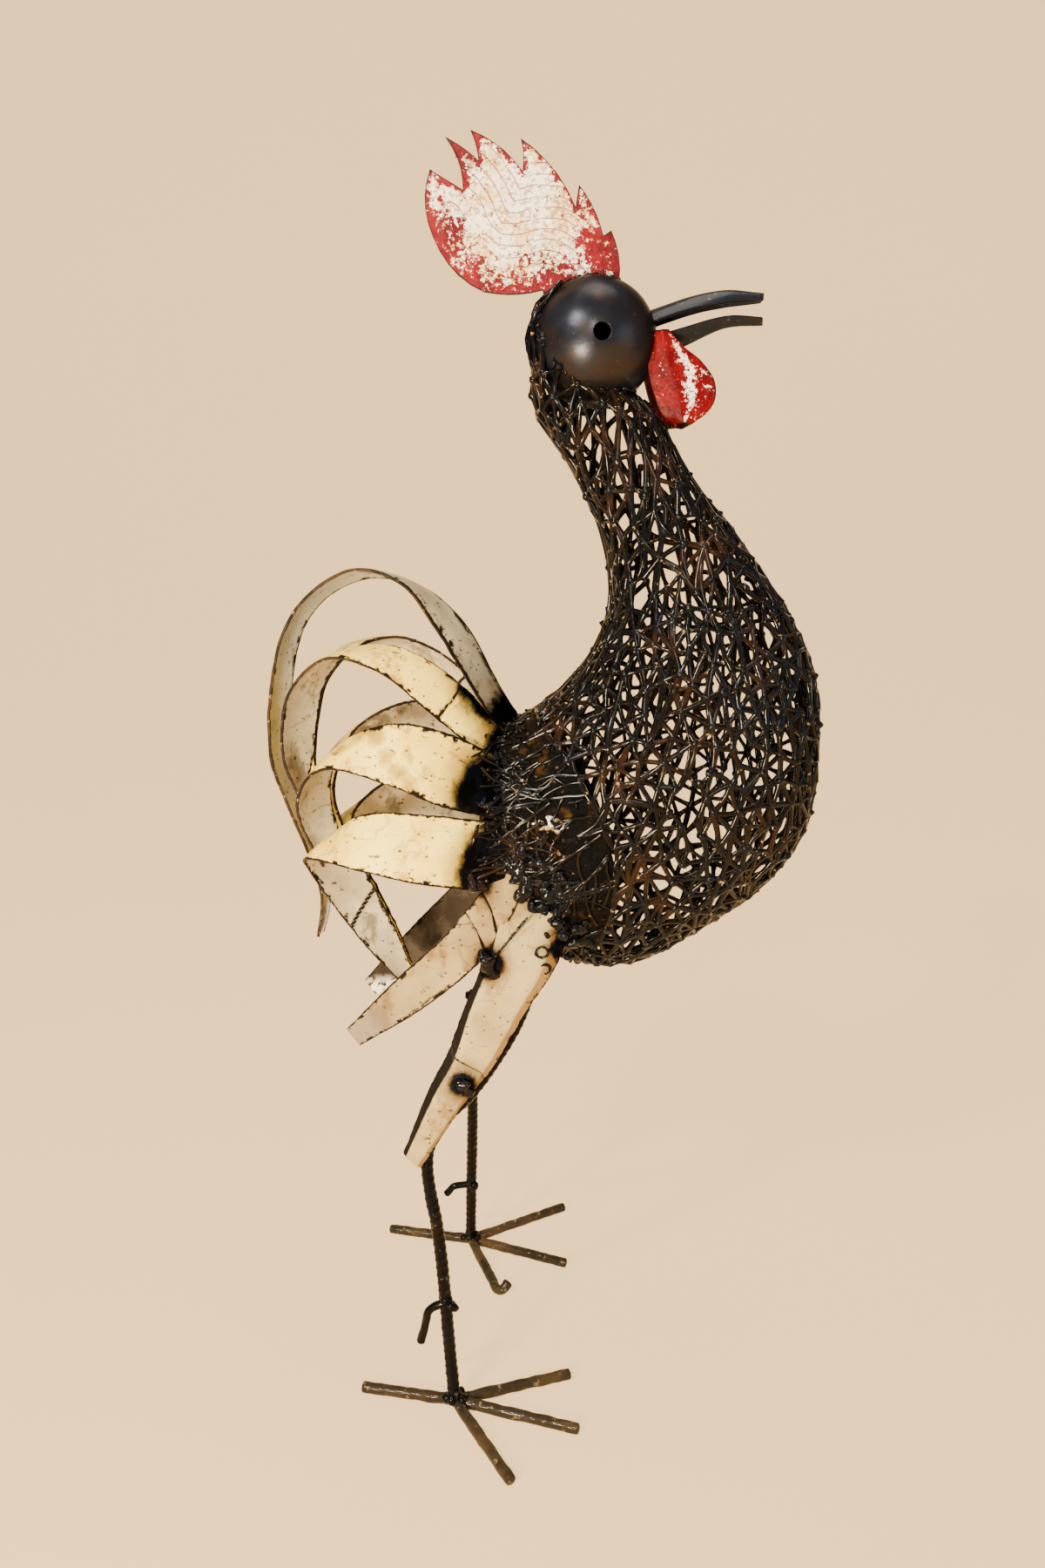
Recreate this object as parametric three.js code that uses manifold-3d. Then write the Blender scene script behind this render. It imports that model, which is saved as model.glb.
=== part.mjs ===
// Wire rooster sculpture in welded scrap steel.
// Units are millimetres. +X is where the beak points, +Y its left side, +Z up.
// The figure is laid out from the floor midway between its ankles, and the last lines
// move it so that the middle of its bounding box's underside is the origin.

import * as THREE from 'three';
import { mergeVertices } from 'three/addons/utils/BufferGeometryUtils.js';
import Module from 'manifold-3d';

const wasm = await Module();
wasm.setup();

// Clearance between pieces that are welded together
const weldGap = 0.3;

// The figure's pose is set down in millimetres of a figure 850 high, and follows its height
const figureHeight = 850;
const figureShare = figureHeight / 850;

// Head. The comb, beak and wattles are set down for a ball of 41, and follow its radius.
const ballRadius = 41;
const headShare = ballRadius / 41;
const ballWall = 2.5;
const ballCentre = new THREE.Vector3(94, 0, 723.5).multiplyScalar(figureShare);
const ballSides = 16;
const ballRings = 10;
const eyeDiameter = 11;
const eyeForward = 3;
const eyeUp = 0.5;
const eyeSides = 12;
const combThickness = 3;
const beakThickness = 2.2;
const beakSteps = 5;
const beakCheekShare = 0.55;
const beakCheekRise = 0.8;
const wattleThickness = 2.2;
const wattleSpread = 16;
const wattleTuck = 1;
const wattleCrease = 3;
const wattleSteps = 6;

// Body of wire
const wireWidth = 4.5;
const wireDepth = 4;
const cageColumns = 12;
const cageRows = 10;
const napeRows = 2;
const napeHeight = 34;
const collarDepth = -52;
const closedCellShare = 0.8;

// Sheets of the rump, tail, wings and thighs
const rumpWall = 2;
const rumpColumns = 16;
const rumpRows = 3;
const rumpRimShare = 0.01;
const rumpMouthShare = 0.25;
const stripThickness = 2;
const stripCrown = 2;
const centreStripSteps = 18;
const sideStripSteps = 11;
const wingThickness = 2;
const wingSteps = 8;
const thighThickness = 2.2;
const thighSteps = 7;
const leftThighLean = 24 * figureShare;

// Rods
const legDiameter = 9;
const toeDiameter = 8;
const spurDiameter = 6;
const rodSides = 8;
const legSteps = 8;
const spurSteps = 4;
const bentToeSteps = 9;
const toeHeight = toeDiameter / 2;
const toeBend = 9;
const toeStart = 3;

function scaled(table, share) {
  return Array.isArray(table) ? table.map((entry) => scaled(entry, share)) : table * share;
}

// Closed bodies

function closedSolid(geometry) {
  const bare = new THREE.BufferGeometry();
  bare.setAttribute('position', geometry.getAttribute('position'));
  bare.setIndex(geometry.getIndex());
  const merged = mergeVertices(bare, 1e-4);
  const spots = merged.getAttribute('position').array;
  const corners = Array.from(merged.getIndex().array);
  if (signedVolume(spots, corners) < 0) {
    for (let i = 0; i < corners.length; i += 3) {
      [corners[i + 1], corners[i + 2]] = [corners[i + 2], corners[i + 1]];
    }
  }
  return new wasm.Manifold(new wasm.Mesh({
    numProp: 3,
    vertProperties: new Float32Array(spots),
    triVerts: new Uint32Array(corners),
  }));
}

function signedVolume(spots, corners) {
  const [a, b, c] = [new THREE.Vector3(), new THREE.Vector3(), new THREE.Vector3()];
  let volume = 0;
  for (let i = 0; i < corners.length; i += 3) {
    a.fromArray(spots, corners[i] * 3);
    b.fromArray(spots, corners[i + 1] * 3);
    c.fromArray(spots, corners[i + 2] * 3);
    volume += a.dot(b.cross(c)) / 6;
  }
  return volume;
}

function geometryOf(solid) {
  const mesh = solid.getMesh();
  const geometry = new THREE.BufferGeometry();
  geometry.setAttribute('position', new THREE.BufferAttribute(new Float32Array(mesh.vertProperties), 3));
  geometry.setIndex(new THREE.BufferAttribute(new Uint32Array(mesh.triVerts), 1));
  return geometry;
}

// Cuts a piece back to what it is welded to. The offcuts on the far side fall away.
function trimmed(piece, neighbours) {
  let rest = piece;
  for (const neighbour of neighbours) {
    rest = rest.subtract(neighbour);
  }
  const lumps = rest.decompose();
  lumps.sort((one, other) => other.volume() - one.volume());
  return lumps[0];
}

function solidFromFaces(points, faces) {
  const geometry = new THREE.BufferGeometry();
  geometry.setFromPoints(points);
  geometry.setIndex(faces.flat());
  return closedSolid(geometry);
}

// The grid with its outer rows and columns moved outward
function widened(grid, grow) {
  const moved = grid.map((row) => row.map((point) => point.clone()));
  const [rowEnd, columnEnd] = [grid.length - 1, grid[0].length - 1];
  const push = (point, from) => point.add(point.clone().sub(from).setLength(grow));
  grid.forEach((row, i) => {
    push(moved[i][0], row[1]);
    push(moved[i][columnEnd], row[columnEnd - 1]);
  });
  for (let j = 0; j <= columnEnd; j += 1) {
    push(moved[0][j], grid[1][j]);
    push(moved[rowEnd][j], grid[rowEnd - 1][j]);
  }
  return moved;
}

// Bent sheet over a grid of points, grown on all sides where it is the seat of another piece
function sheet(grid, wall, grow = 0) {
  const rows = grow > 0 ? widened(grid, grow) : grid;
  const thickness = wall + 2 * grow;
  const across = rows[0].length;
  const normals = rows.map((row, i) => row.map((point, j) => {
    const along = new THREE.Vector3().subVectors(
      rows[Math.min(i + 1, rows.length - 1)][j], rows[Math.max(i - 1, 0)][j]);
    const over = new THREE.Vector3().subVectors(
      row[Math.min(j + 1, across - 1)], row[Math.max(j - 1, 0)]);
    return along.cross(over).normalize();
  }));
  const skin = (side) => rows.flatMap((row, i) => row.map(
    (point, j) => point.clone().addScaledVector(normals[i][j], side * thickness / 2)));
  const points = [...skin(1), ...skin(-1)];
  const size = rows.length * across;
  const faces = [];
  for (let i = 0; i + 1 < rows.length; i += 1) {
    for (let j = 0; j + 1 < across; j += 1) {
      const [a, b] = [i * across + j, i * across + j + 1];
      const [c, d] = [b + across, a + across];
      faces.push([a, b, c], [a, c, d]);
      faces.push([size + a, size + c, size + b], [size + a, size + d, size + c]);
    }
  }
  const edge = [];
  for (let j = 0; j + 1 < across; j += 1) edge.push(j);
  for (let i = 0; i + 1 < rows.length; i += 1) edge.push(i * across + across - 1);
  for (let j = across - 1; j > 0; j -= 1) edge.push((rows.length - 1) * across + j);
  for (let i = rows.length - 1; i > 0; i -= 1) edge.push(i * across);
  edge.forEach((from, k) => {
    const to = edge[(k + 1) % edge.length];
    faces.push([from, size + from, size + to], [from, size + to, to]);
  });
  return solidFromFaces(points, faces);
}

// Grid of points between hand-placed stations, each a few points across the sheet
function stationGrid(stations, steps) {
  const curves = stations[0].map((_, j) => new THREE.CatmullRomCurve3(
    stations.map((station) => new THREE.Vector3(...station[j])), false, 'centripetal'));
  const grid = [];
  for (let i = 0; i <= steps; i += 1) {
    grid.push(curves.map((curve) => curve.getPoint(i / steps)));
  }
  return grid;
}

// Solid between rings of points, closed by a fan at each end
function loft(rings) {
  const count = rings[0].length;
  const points = rings.flat();
  const faces = [];
  for (let i = 0; i + 1 < rings.length; i += 1) {
    for (let j = 0; j < count; j += 1) {
      const next = (j + 1) % count;
      const [a, b] = [i * count + j, i * count + next];
      const [c, d] = [b + count, a + count];
      faces.push([a, b, c], [a, c, d]);
    }
  }
  const middle = (ring) => ring.reduce(
    (sum, point) => sum.add(point), new THREE.Vector3()).divideScalar(count);
  const last = (rings.length - 1) * count;
  const [start, end] = [points.length, points.length + 1];
  points.push(middle(rings[0]), middle(rings[rings.length - 1]));
  for (let j = 0; j < count; j += 1) {
    const next = (j + 1) % count;
    faces.push([start, next, j], [end, last + j, last + next]);
  }
  return solidFromFaces(points, faces);
}

// Rod along a path, with a flat side of its section turned down on a level path
function rod(path, diameter, steps) {
  const section = new THREE.Shape();
  for (let i = 0; i < rodSides; i += 1) {
    const angle = (i + 0.5) * 2 * Math.PI / rodSides;
    const reach = diameter / 2 / Math.cos(Math.PI / rodSides);
    const corner = [reach * Math.cos(angle), reach * Math.sin(angle)];
    if (i === 0) section.moveTo(...corner);
    else section.lineTo(...corner);
  }
  return closedSolid(new THREE.ExtrudeGeometry(section, { extrudePath: path, steps, bevelEnabled: false }));
}

function splineThrough(points) {
  return new THREE.CatmullRomCurve3(
    points.map((point) => new THREE.Vector3(...point)), false, 'centripetal');
}

function mirrored(stations) {
  return stations.map((station) => station.map(([x, y, z]) => [x, -y, z]));
}

// Head ball with an eye hole through each side

function ball(grow) {
  const sphere = new THREE.SphereGeometry(ballRadius + grow, ballSides, ballRings);
  sphere.rotateX(Math.PI / 2);
  sphere.translate(...ballCentre.toArray());
  return closedSolid(sphere);
}

function headBall() {
  const eyes = new THREE.CylinderGeometry(eyeDiameter / 2, eyeDiameter / 2, 3 * ballRadius, eyeSides);
  eyes.translate(ballCentre.x + eyeForward, 0, ballCentre.z + eyeUp);
  return ball(0).subtract(ball(-ballWall)).subtract(closedSolid(eyes));
}

// Comb: a flat sheet with six points, measured from the ball's centre.
// Each entry is a corner, and how far the edge that leads to it bows outward.
const combEdge = [
  { x: -30, z: 20, bow: 0 },
  { x: -34, z: 32, bow: 0 },
  { x: -72, z: 31, bow: 2 },
  { x: -105, z: 65, bow: 5 },
  { x: -106, z: 104, bow: 4 },
  { x: -85, z: 92, bow: 0 },
  { x: -96, z: 123, bow: -3 },
  { x: -75, z: 109, bow: 1 },
  { x: -80, z: 127, bow: -1 },
  { x: -47, z: 103, bow: 3 },
  { x: -48, z: 122, bow: -1 },
  { x: -13, z: 82, bow: 4 },
  { x: -11, z: 95, bow: 0 },
  { x: 5, z: 65, bow: 2 },
  { x: 10, z: 68, bow: 0 },
  { x: 16, z: 39, bow: 2 },
  { x: 12, z: 20, bow: 0 },
].map(({ x, z, bow }) => ({ x: x * headShare, z: z * headShare, bow: bow * headShare }));

function comb() {
  const outline = new THREE.Shape();
  combEdge.forEach(({ x, z, bow }, k) => {
    if (k === 0) {
      outline.moveTo(x, z);
      return;
    }
    const from = combEdge[k - 1];
    const length = Math.hypot(x - from.x, z - from.z);
    const middle = [(x + from.x) / 2, (z + from.z) / 2];
    const outward = [-(z - from.z) / length, (x - from.x) / length];
    const pull = middle.map((value, axis) => value + 2 * bow * outward[axis]);
    outline.quadraticCurveTo(...pull, x, z);
  });
  const plate = new THREE.ExtrudeGeometry(
    outline, { depth: combThickness, curveSegments: 2, bevelEnabled: false });
  plate.rotateX(Math.PI / 2);
  plate.translate(ballCentre.x, combThickness / 2, ballCentre.z);
  return trimmed(closedSolid(plate), [ball(weldGap)]);
}

// Beak: two folded sheets, the fold of the upper one on top and of the lower one below.
// Each station is measured from the ball's centre: forward, fold height, rim height, half width.
const upperBeakStations = [[30, 18, 8, 13], [60, 28, 18, 11], [85, 32.5, 23, 8], [110, 30, 25, 3.5]];
const lowerBeakStations = [[30, -14, 0, 12], [58, -3, 8, 10.5], [85, 9, 15, 7.5], [110, 11, 15, 3.5]];

function beakHalf(stations) {
  const across = scaled(stations, headShare).map(([forward, fold, rim, half]) => {
    const x = ballCentre.x + forward;
    const low = ballCentre.z + rim;
    const high = low + (fold - rim) * beakCheekRise;
    const cheek = half * beakCheekShare;
    return [[x, -half, low], [x, -cheek, high], [x, cheek, high], [x, half, low]];
  });
  return trimmed(sheet(stationGrid(across, beakSteps), beakThickness), [ball(weldGap)]);
}

// Wattle: a lobe of sheet hanging from the ball beside the beak, creased down its middle.
// Each station is measured from the ball's centre: height, rear edge, crease, front edge.
const wattleStations = [
  [5, 38, 42, 46],
  [-5, 36, 44, 56],
  [-14, 34, 46, 68],
  [-26, 36, 50, 77],
  [-38, 40, 54, 77.5],
  [-47, 45, 56, 71],
  [-52, 53, 57, 61],
];

function wattle(side) {
  const across = scaled(wattleStations, headShare).map(([drop, rear, crease, front]) => [
    [ballCentre.x + rear, side * (wattleSpread - wattleTuck), ballCentre.z + drop],
    [ballCentre.x + crease, side * (wattleSpread + wattleCrease), ballCentre.z + drop],
    [ballCentre.x + front, side * wattleSpread, ballCentre.z + drop],
  ]);
  return trimmed(sheet(stationGrid(across, wattleSteps), wattleThickness), [ball(weldGap)]);
}

// Body: oval sections swept from the neck round the breast to the rump.
// Each section has its rear and front point in the figure's middle plane, and its half width.
const bodySections = [
  { rear: [50, 686], front: [142, 671], half: 34 },
  { rear: [82, 637], front: [164, 634], half: 38 },
  { rear: [104, 585], front: [201, 590], half: 46 },
  { rear: [102, 543], front: [240, 530], half: 60 },
  { rear: [80, 503], front: [259, 459], half: 69 },
  { rear: [50, 480], front: [243, 386], half: 70 },
  { rear: [31, 472], front: [190, 331], half: 64 },
  { rear: [18, 464], front: [108, 294], half: 58 },
  { rear: [10, 450], front: [41, 321], half: 53 },
].map(({ rear, front, half }) => ({
  rear: scaled(rear, figureShare),
  front: scaled(front, figureShare),
  half: half * figureShare,
}));
const sectionFullness = 2.3;
const rumpStartRear = 4.9;
const rumpStartFront = 7.35;
const lastSection = bodySections.length - 1;

const rearLine = splineThrough(bodySections.map(({ rear }) => [rear[0], 0, rear[1]]));
const frontLine = splineThrough(bodySections.map(({ front }) => [front[0], 0, front[1]]));
const halfLine = splineThrough(bodySections.map(({ half }, k) => [k, half, 0]));

// Point of the body at an angle round its section, from the front, and a section number
function bodyPoint(angle, along, grow) {
  const rear = rearLine.getPoint(along / lastSection);
  const front = frontLine.getPoint(along / lastSection);
  const reach = new THREE.Vector3().subVectors(front, rear);
  const centre = new THREE.Vector3().addVectors(front, rear).divideScalar(2);
  const full = (value) => Math.sign(value) * Math.abs(value) ** (2 / sectionFullness);
  centre.addScaledVector(reach.clone().normalize(), full(Math.cos(angle)) * (reach.length() / 2 + grow));
  centre.y += full(Math.sin(angle)) * (halfLine.getPoint(along / lastSection).y + grow);
  return centre;
}

function rumpStart(angle) {
  return rumpStartRear + (rumpStartFront - rumpStartRear) * (1 + Math.cos(angle)) / 2;
}

// Collar: where the wires reach the ball, low at its sides and high up its nape
function collarPoint(angle) {
  const nape = Math.max(0, -Math.cos(angle)) ** 3;
  const lift = THREE.MathUtils.degToRad(collarDepth + (napeHeight - collarDepth) * nape);
  const outward = new THREE.Vector3(
    Math.cos(lift) * Math.cos(angle), Math.cos(lift) * Math.sin(angle), Math.sin(lift));
  return ballCentre.clone().addScaledVector(outward, ballRadius + wireDepth / 2);
}

function cagePoint(angle, row) {
  if (row >= napeRows) {
    const share = (row - napeRows) / (cageRows - napeRows);
    return bodyPoint(angle, share * rumpStart(angle), 0);
  }
  const point = collarPoint(angle).lerp(bodyPoint(angle, 0, 0), row / napeRows);
  const away = point.clone().sub(ballCentre);
  away.setLength(Math.max(away.length(), ballRadius + wireDepth));
  return away.add(ballCentre);
}

// Body cage: one welded lattice, a triangle of wire round each hole
function bodyCage() {
  const outer = [];
  for (let i = 0; i <= cageRows; i += 1) {
    const shift = (i % 2) / 2;
    outer.push([...Array(cageColumns).keys()].map(
      (j) => cagePoint((j + shift) * 2 * Math.PI / cageColumns, i)));
  }
  const at = (i, j) => outer[i][(j + cageColumns) % cageColumns];
  const inner = outer.map((row, i) => row.map((point, j) => {
    const round = new THREE.Vector3().subVectors(at(i, j + 1), at(i, j - 1));
    const down = new THREE.Vector3().subVectors(
      at(Math.min(i + 1, cageRows), j), at(Math.max(i - 1, 0), j));
    return point.clone().addScaledVector(round.cross(down).normalize(), wireDepth);
  }));
  const points = [...outer.flat(), ...inner.flat()];
  const depthStep = outer.length * cageColumns;
  const number = (i, j) => i * cageColumns + (j + cageColumns) % cageColumns;
  const faces = [];
  for (let i = 0; i < cageRows; i += 1) {
    for (let j = 0; j < cageColumns; j += 1) {
      const [a, b, c, d] = [number(i, j), number(i, j + 1), number(i + 1, j + 1), number(i + 1, j)];
      const pair = i % 2 === 0 ? [[a, b, d], [b, c, d]] : [[a, b, c], [a, c, d]];
      pair.forEach((cell) => addCell(points, faces, cell, depthStep));
    }
  }
  [0, cageRows].forEach((i) => {
    for (let j = 0; j < cageColumns; j += 1) {
      const [a, b] = i === 0 ? [number(i, j + 1), number(i, j)] : [number(i, j), number(i, j + 1)];
      faces.push([a, b, b + depthStep], [a, b + depthStep, a + depthStep]);
    }
  });
  return trimmed(solidFromFaces(points, faces), [ball(weldGap), rumpBody(weldGap, -rumpRimShare)]);
}

// One triangle of the lattice. A cell too small for a hole stays a web of metal.
function addCell(points, faces, cell, depthStep) {
  const [a, b, c] = cell.map((index) => points[index]);
  const triangle = new THREE.Triangle(a, b, c);
  const sides = [b.distanceTo(c), c.distanceTo(a), a.distanceTo(b)];
  const edge = sides[0] + sides[1] + sides[2];
  const inset = wireWidth / 2 / (2 * triangle.getArea() / edge);
  const back = cell.map((index) => index + depthStep);
  if (inset > closedCellShare) {
    faces.push(cell, [back[0], back[2], back[1]]);
    return;
  }
  const holeOn = (corners) => {
    const spots = corners.map((index) => points[index]);
    const centre = new THREE.Vector3();
    spots.forEach((spot, k) => centre.addScaledVector(spot, sides[k] / edge));
    return spots.map((spot) => points.push(spot.clone().lerp(centre, inset)) - 1);
  };
  const [front, rear] = [holeOn(cell), holeOn(back)];
  for (let k = 0; k < 3; k += 1) {
    const next = (k + 1) % 3;
    faces.push([cell[k], cell[next], front[next]], [cell[k], front[next], front[k]]);
    faces.push([back[k], rear[next], back[next]], [back[k], rear[k], rear[next]]);
    faces.push([front[k], front[next], rear[next]], [front[k], rear[next], rear[k]]);
  }
}

// Rump: a cup of sheet that closes the body behind and carries the tail, wings and legs.
// The share of its length that it starts at is below zero where it reaches past its rim.
function rumpBody(grow, from) {
  const rings = [];
  for (let i = 0; i <= rumpRows; i += 1) {
    const share = from + (1 - from) * i / rumpRows;
    const ring = [...Array(rumpColumns).keys()].map((j) => {
      const angle = j * 2 * Math.PI / rumpColumns;
      const along = rumpStart(angle) + share * (lastSection - rumpStart(angle));
      return bodyPoint(angle, along, grow);
    });
    rings.push(ring);
  }
  const last = rings[rumpRows];
  const behind = new THREE.Vector3().crossVectors(
    new THREE.Vector3(0, 1, 0), last[0].clone().sub(last[rumpColumns / 2])).normalize();
  last.forEach((point) => point.addScaledVector(behind, grow));
  return loft(rings);
}

function rumpCup() {
  return rumpBody(0, 0).subtract(rumpBody(-rumpWall, -rumpMouthShare));
}

// Tail: sickle strips. Each station has the edge nearer the figure's side, then the other edge.
const tailCentreStations = [
  [[34, -12, 462], [50, 6, 466]],
  [[12, -14, 498], [30, 8, 498]],
  [[-12, -14, 538], [5, 10, 542]],
  [[-36, -13, 569], [-29, 12, 568]],
  [[-70, -13, 577], [-69, 12, 569]],
  [[-109, -13, 548], [-101, 12, 546]],
  [[-127, -12, 492], [-117, 11, 493]],
  [[-128, -11, 446], [-120, 10, 446]],
  [[-118, -10, 414], [-111, 9, 415]],
  [[-98, -6, 350], [-93, 5, 344]],
  [[-102, -1.5, 314], [-98, 2, 317]],
];
const tailUpperStations = [
  [[30, -34, 446], [34, -20, 466]],
  [[-7, -50, 480], [5, -36, 504]],
  [[-49, -56, 515], [-36, -36, 528]],
  [[-82, -48, 521], [-67, -22, 524]],
  [[-111, -36, 492], [-90, -8, 500]],
  [[-115, -30, 449], [-100, -5, 449]],
  [[-107, -30, 427], [-102, -20, 429]],
];
const tailMiddleStations = [
  [[34, -52, 414], [34, -34, 452]],
  [[-7, -66, 427], [-4, -54, 474]],
  [[-38, -70, 441], [-35, -56, 480]],
  [[-84, -60, 450], [-73, -38, 464]],
  [[-106, -38, 425], [-86, -14, 437]],
  [[-105, -30, 404], [-88, -8, 420]],
  [[-92, -26, 374], [-82, -8, 392]],
];
const tailLowerStations = [
  [[34, -52, 364], [38, -52, 412]],
  [[-22, -66, 374], [-18, -60, 420]],
  [[-57, -66, 382], [-52, -56, 420]],
  [[-101, -42, 384], [-76, -24, 402]],
  [[-101, -26, 370], [-74, -7, 384]],
  [[-69, -14, 316], [-47, -4, 326]],
  [[-44, -12, 286], [-34, -4, 292]],
];

// Strip of sheet with its middle raised a little off the line between its edges
function strip(stations, steps, grow) {
  const rows = stationGrid(scaled(stations, figureShare), steps);
  const crowned = rows.map(([near, far], i) => {
    const along = new THREE.Vector3().subVectors(
      rows[Math.min(i + 1, steps)][0], rows[Math.max(i - 1, 0)][0]);
    const across = new THREE.Vector3().subVectors(far, near);
    const up = along.cross(across).normalize().multiplyScalar(stripCrown);
    return [near, near.clone().lerp(far, 0.5).add(up), far];
  });
  return sheet(crowned, stripThickness, grow);
}

// Wing: a lance of plate hanging from the rump
const wingStations = [
  [[30, -52, 378], [52, -52, 376]],
  [[11, -61, 357], [32, -61, 335]],
  [[-5, -60, 337], [13, -60, 312]],
  [[-39, -54, 303], [-25, -54, 279]],
  [[-76, -45, 262], [-67, -45, 250]],
];

// Thigh: a plate folded back along its rear edge and again near its front edge
const thighStations = [
  [[34, -52, 366], [38, -54, 368], [66, -54, 350], [80, -52, 340]],
  [[21, -62, 317], [25, -66, 317], [58, -67, 317], [70, -64, 317]],
  [[8, -64, 286], [13, -69, 286], [42, -70, 286], [50, -67, 286]],
  [[-4, -68, 254], [1, -73, 250], [20, -74, 246], [25, -72, 244]],
  [[-16, -72, 231], [-11, -77, 229], [7, -78, 228], [11, -76, 228]],
  [[-34, -78, 186], [-32, -81, 184], [-26, -82, 179], [-23, -80, 176]],
];

function thighStationsOn(side) {
  const stations = scaled(thighStations, figureShare);
  if (side < 0) {
    return stations;
  }
  const [top, tip] = [stations[0][0][2], stations[stations.length - 1][0][2]];
  return mirrored(stations).map((station) => station.map(
    ([x, y, z]) => [x + leftThighLean * (top - z) / (top - tip), y, z]));
}

function thigh(side, grow) {
  return sheet(stationGrid(thighStationsOn(side), thighSteps), thighThickness, grow);
}

// Feet: where each ankle is, and the tips of its toes measured from there
const footPlans = {
  right: { ankle: [-1, -95], hind: [-67, 13], side: [41, -71], middle: [87, -27], front: [83, 26] },
  left: { ankle: [2, 94], hind: [-72, 15], side: [26, -72], middle: [82, -34], front: [83, 49] },
};

function footSpot(side, toe) {
  return scaled(footPlans[side][toe], figureShare);
}

// Legs: a rod from inside the rump, out behind the thigh, back to the knee and down to the ankle
const legPaths = {
  right: [[60, -36, 330], [47, -56, 280], [17, -66, 231], [-17, -73, 190], [-10, -83, 115]],
  left: [[66, 36, 330], [56, 56, 280], [30, 64, 236], [9, 72, 190], [5, 85, 115]],
};

function leg(side, grow) {
  const ankle = [...footSpot(side, 'ankle'), toeHeight - grow];
  const path = splineThrough([...scaled(legPaths[side], figureShare), ankle]);
  return rod(path, legDiameter + 2 * grow, legSteps);
}

// Bent toe: one rod that is both the hind and the side toe
function bentToe(side, grow) {
  const ankle = footSpot(side, 'ankle');
  const spot = ([x, y]) => new THREE.Vector3(ankle[0] + x, ankle[1] + y, toeHeight);
  const bendAt = (tip) => spot(tip.map((value) => value * toeBend / Math.hypot(...tip)));
  const [hind, outer] = [footSpot(side, 'hind'), footSpot(side, 'side')];
  const path = new THREE.CatmullRomCurve3(
    [spot(hind), bendAt(hind), bendAt(outer), spot(outer)], false, 'chordal');
  return rod(path, toeDiameter + 2 * grow, bentToeSteps);
}

function straightToe(side, toe, grow) {
  const [ankle, tip] = [footSpot(side, 'ankle'), footSpot(side, toe)];
  const start = (toeStart - grow) / Math.hypot(...tip);
  const end = (share) => new THREE.Vector3(
    ankle[0] + tip[0] * share, ankle[1] + tip[1] * share, toeHeight);
  return rod(new THREE.LineCurve3(end(start), end(1)), toeDiameter + 2 * grow, 1);
}

// Spurs: short bent rods behind each shin
const spurPaths = {
  right: [[-3, -89, 77], [-17, -89, 75], [-25, -87, 44]],
  left: [[5, 90, 59], [-11, 90, 58], [-19, 90, 49]],
};

function spur(side) {
  return rod(splineThrough(scaled(spurPaths[side], figureShare)), spurDiameter, spurSteps);
}

// Colours of the paint and bare steel
const finishes = {
  blackSteel: { color: 0x1c1816, roughness: 0.3, metalness: 0.8 },
  patinaWire: { color: 0x33241a, roughness: 0.3, metalness: 0.8 },
  redPaint: { color: 0x8e1717, roughness: 0.2, metalness: 0.1 },
  beakSteel: { color: 0x2b2a2b, roughness: 0.4, metalness: 0.7 },
  creamPaint: { color: 0xc9bda4, roughness: 0.4, metalness: 0.1 },
  toeSteel: { color: 0x4b3f30, roughness: 0.5, metalness: 0.6 },
};

const rooster = new THREE.Group();

function add(name, solid, finish) {
  const mesh = new THREE.Mesh(geometryOf(solid), new THREE.MeshStandardMaterial(finishes[finish]));
  mesh.name = name;
  rooster.add(mesh);
}

add('head_ball', headBall(), 'blackSteel');
add('comb', comb(), 'redPaint');
add('beak_upper', beakHalf(upperBeakStations), 'beakSteel');
add('beak_lower', beakHalf(lowerBeakStations), 'beakSteel');
add('body_cage', bodyCage(), 'patinaWire');
add('rump_cup', rumpCup(), 'patinaWire');

const rumpSeat = rumpBody(weldGap, -rumpRimShare);
add('tail_centre', trimmed(strip(tailCentreStations, centreStripSteps, 0), [rumpSeat]), 'creamPaint');

for (const [side, sign] of [['right', -1], ['left', 1]]) {
  const onSide = (stations) => (sign < 0 ? stations : mirrored(stations));
  const sideStrip = (stations, grow) => strip(onSide(stations), sideStripSteps, grow);
  const thighSeat = thigh(sign, weldGap);
  const legSeat = leg(side, weldGap);
  const bentSeat = bentToe(side, weldGap);
  const middleToeSeat = straightToe(side, 'middle', weldGap);
  const lowerSeat = sideStrip(tailLowerStations, weldGap);
  const middleSeat = sideStrip(tailMiddleStations, weldGap);
  const upper = sideStrip(tailUpperStations, 0);
  const middle = sideStrip(tailMiddleStations, 0);
  const lower = sideStrip(tailLowerStations, 0);
  const wing = sheet(stationGrid(scaled(onSide(wingStations), figureShare), wingSteps), wingThickness);
  const frontToe = straightToe(side, 'front', 0);
  add(`wattle_${side}`, wattle(sign), 'redPaint');
  add(`tail_upper_${side}`, trimmed(upper, [rumpSeat, middleSeat]), 'creamPaint');
  add(`tail_middle_${side}`, trimmed(middle, [rumpSeat, lowerSeat]), 'creamPaint');
  add(`tail_lower_${side}`, trimmed(lower, [rumpSeat]), 'creamPaint');
  add(`wing_${side}`, trimmed(wing, [rumpSeat, lowerSeat, thighSeat]), 'creamPaint');
  add(`thigh_${side}`, trimmed(thigh(sign, 0), [rumpSeat, lowerSeat]), 'creamPaint');
  add(`leg_${side}`, trimmed(leg(side, 0), [rumpSeat, thighSeat, bentSeat]), 'blackSteel');
  add(`spur_${side}`, trimmed(spur(side), [legSeat]), 'blackSteel');
  add(`toe_bent_${side}`, bentToe(side, 0), 'toeSteel');
  add(`toe_middle_${side}`, trimmed(straightToe(side, 'middle', 0), [bentSeat, legSeat]), 'toeSteel');
  add(`toe_front_${side}`, trimmed(frontToe, [bentSeat, legSeat, middleToeSeat]), 'toeSteel');
}

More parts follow.
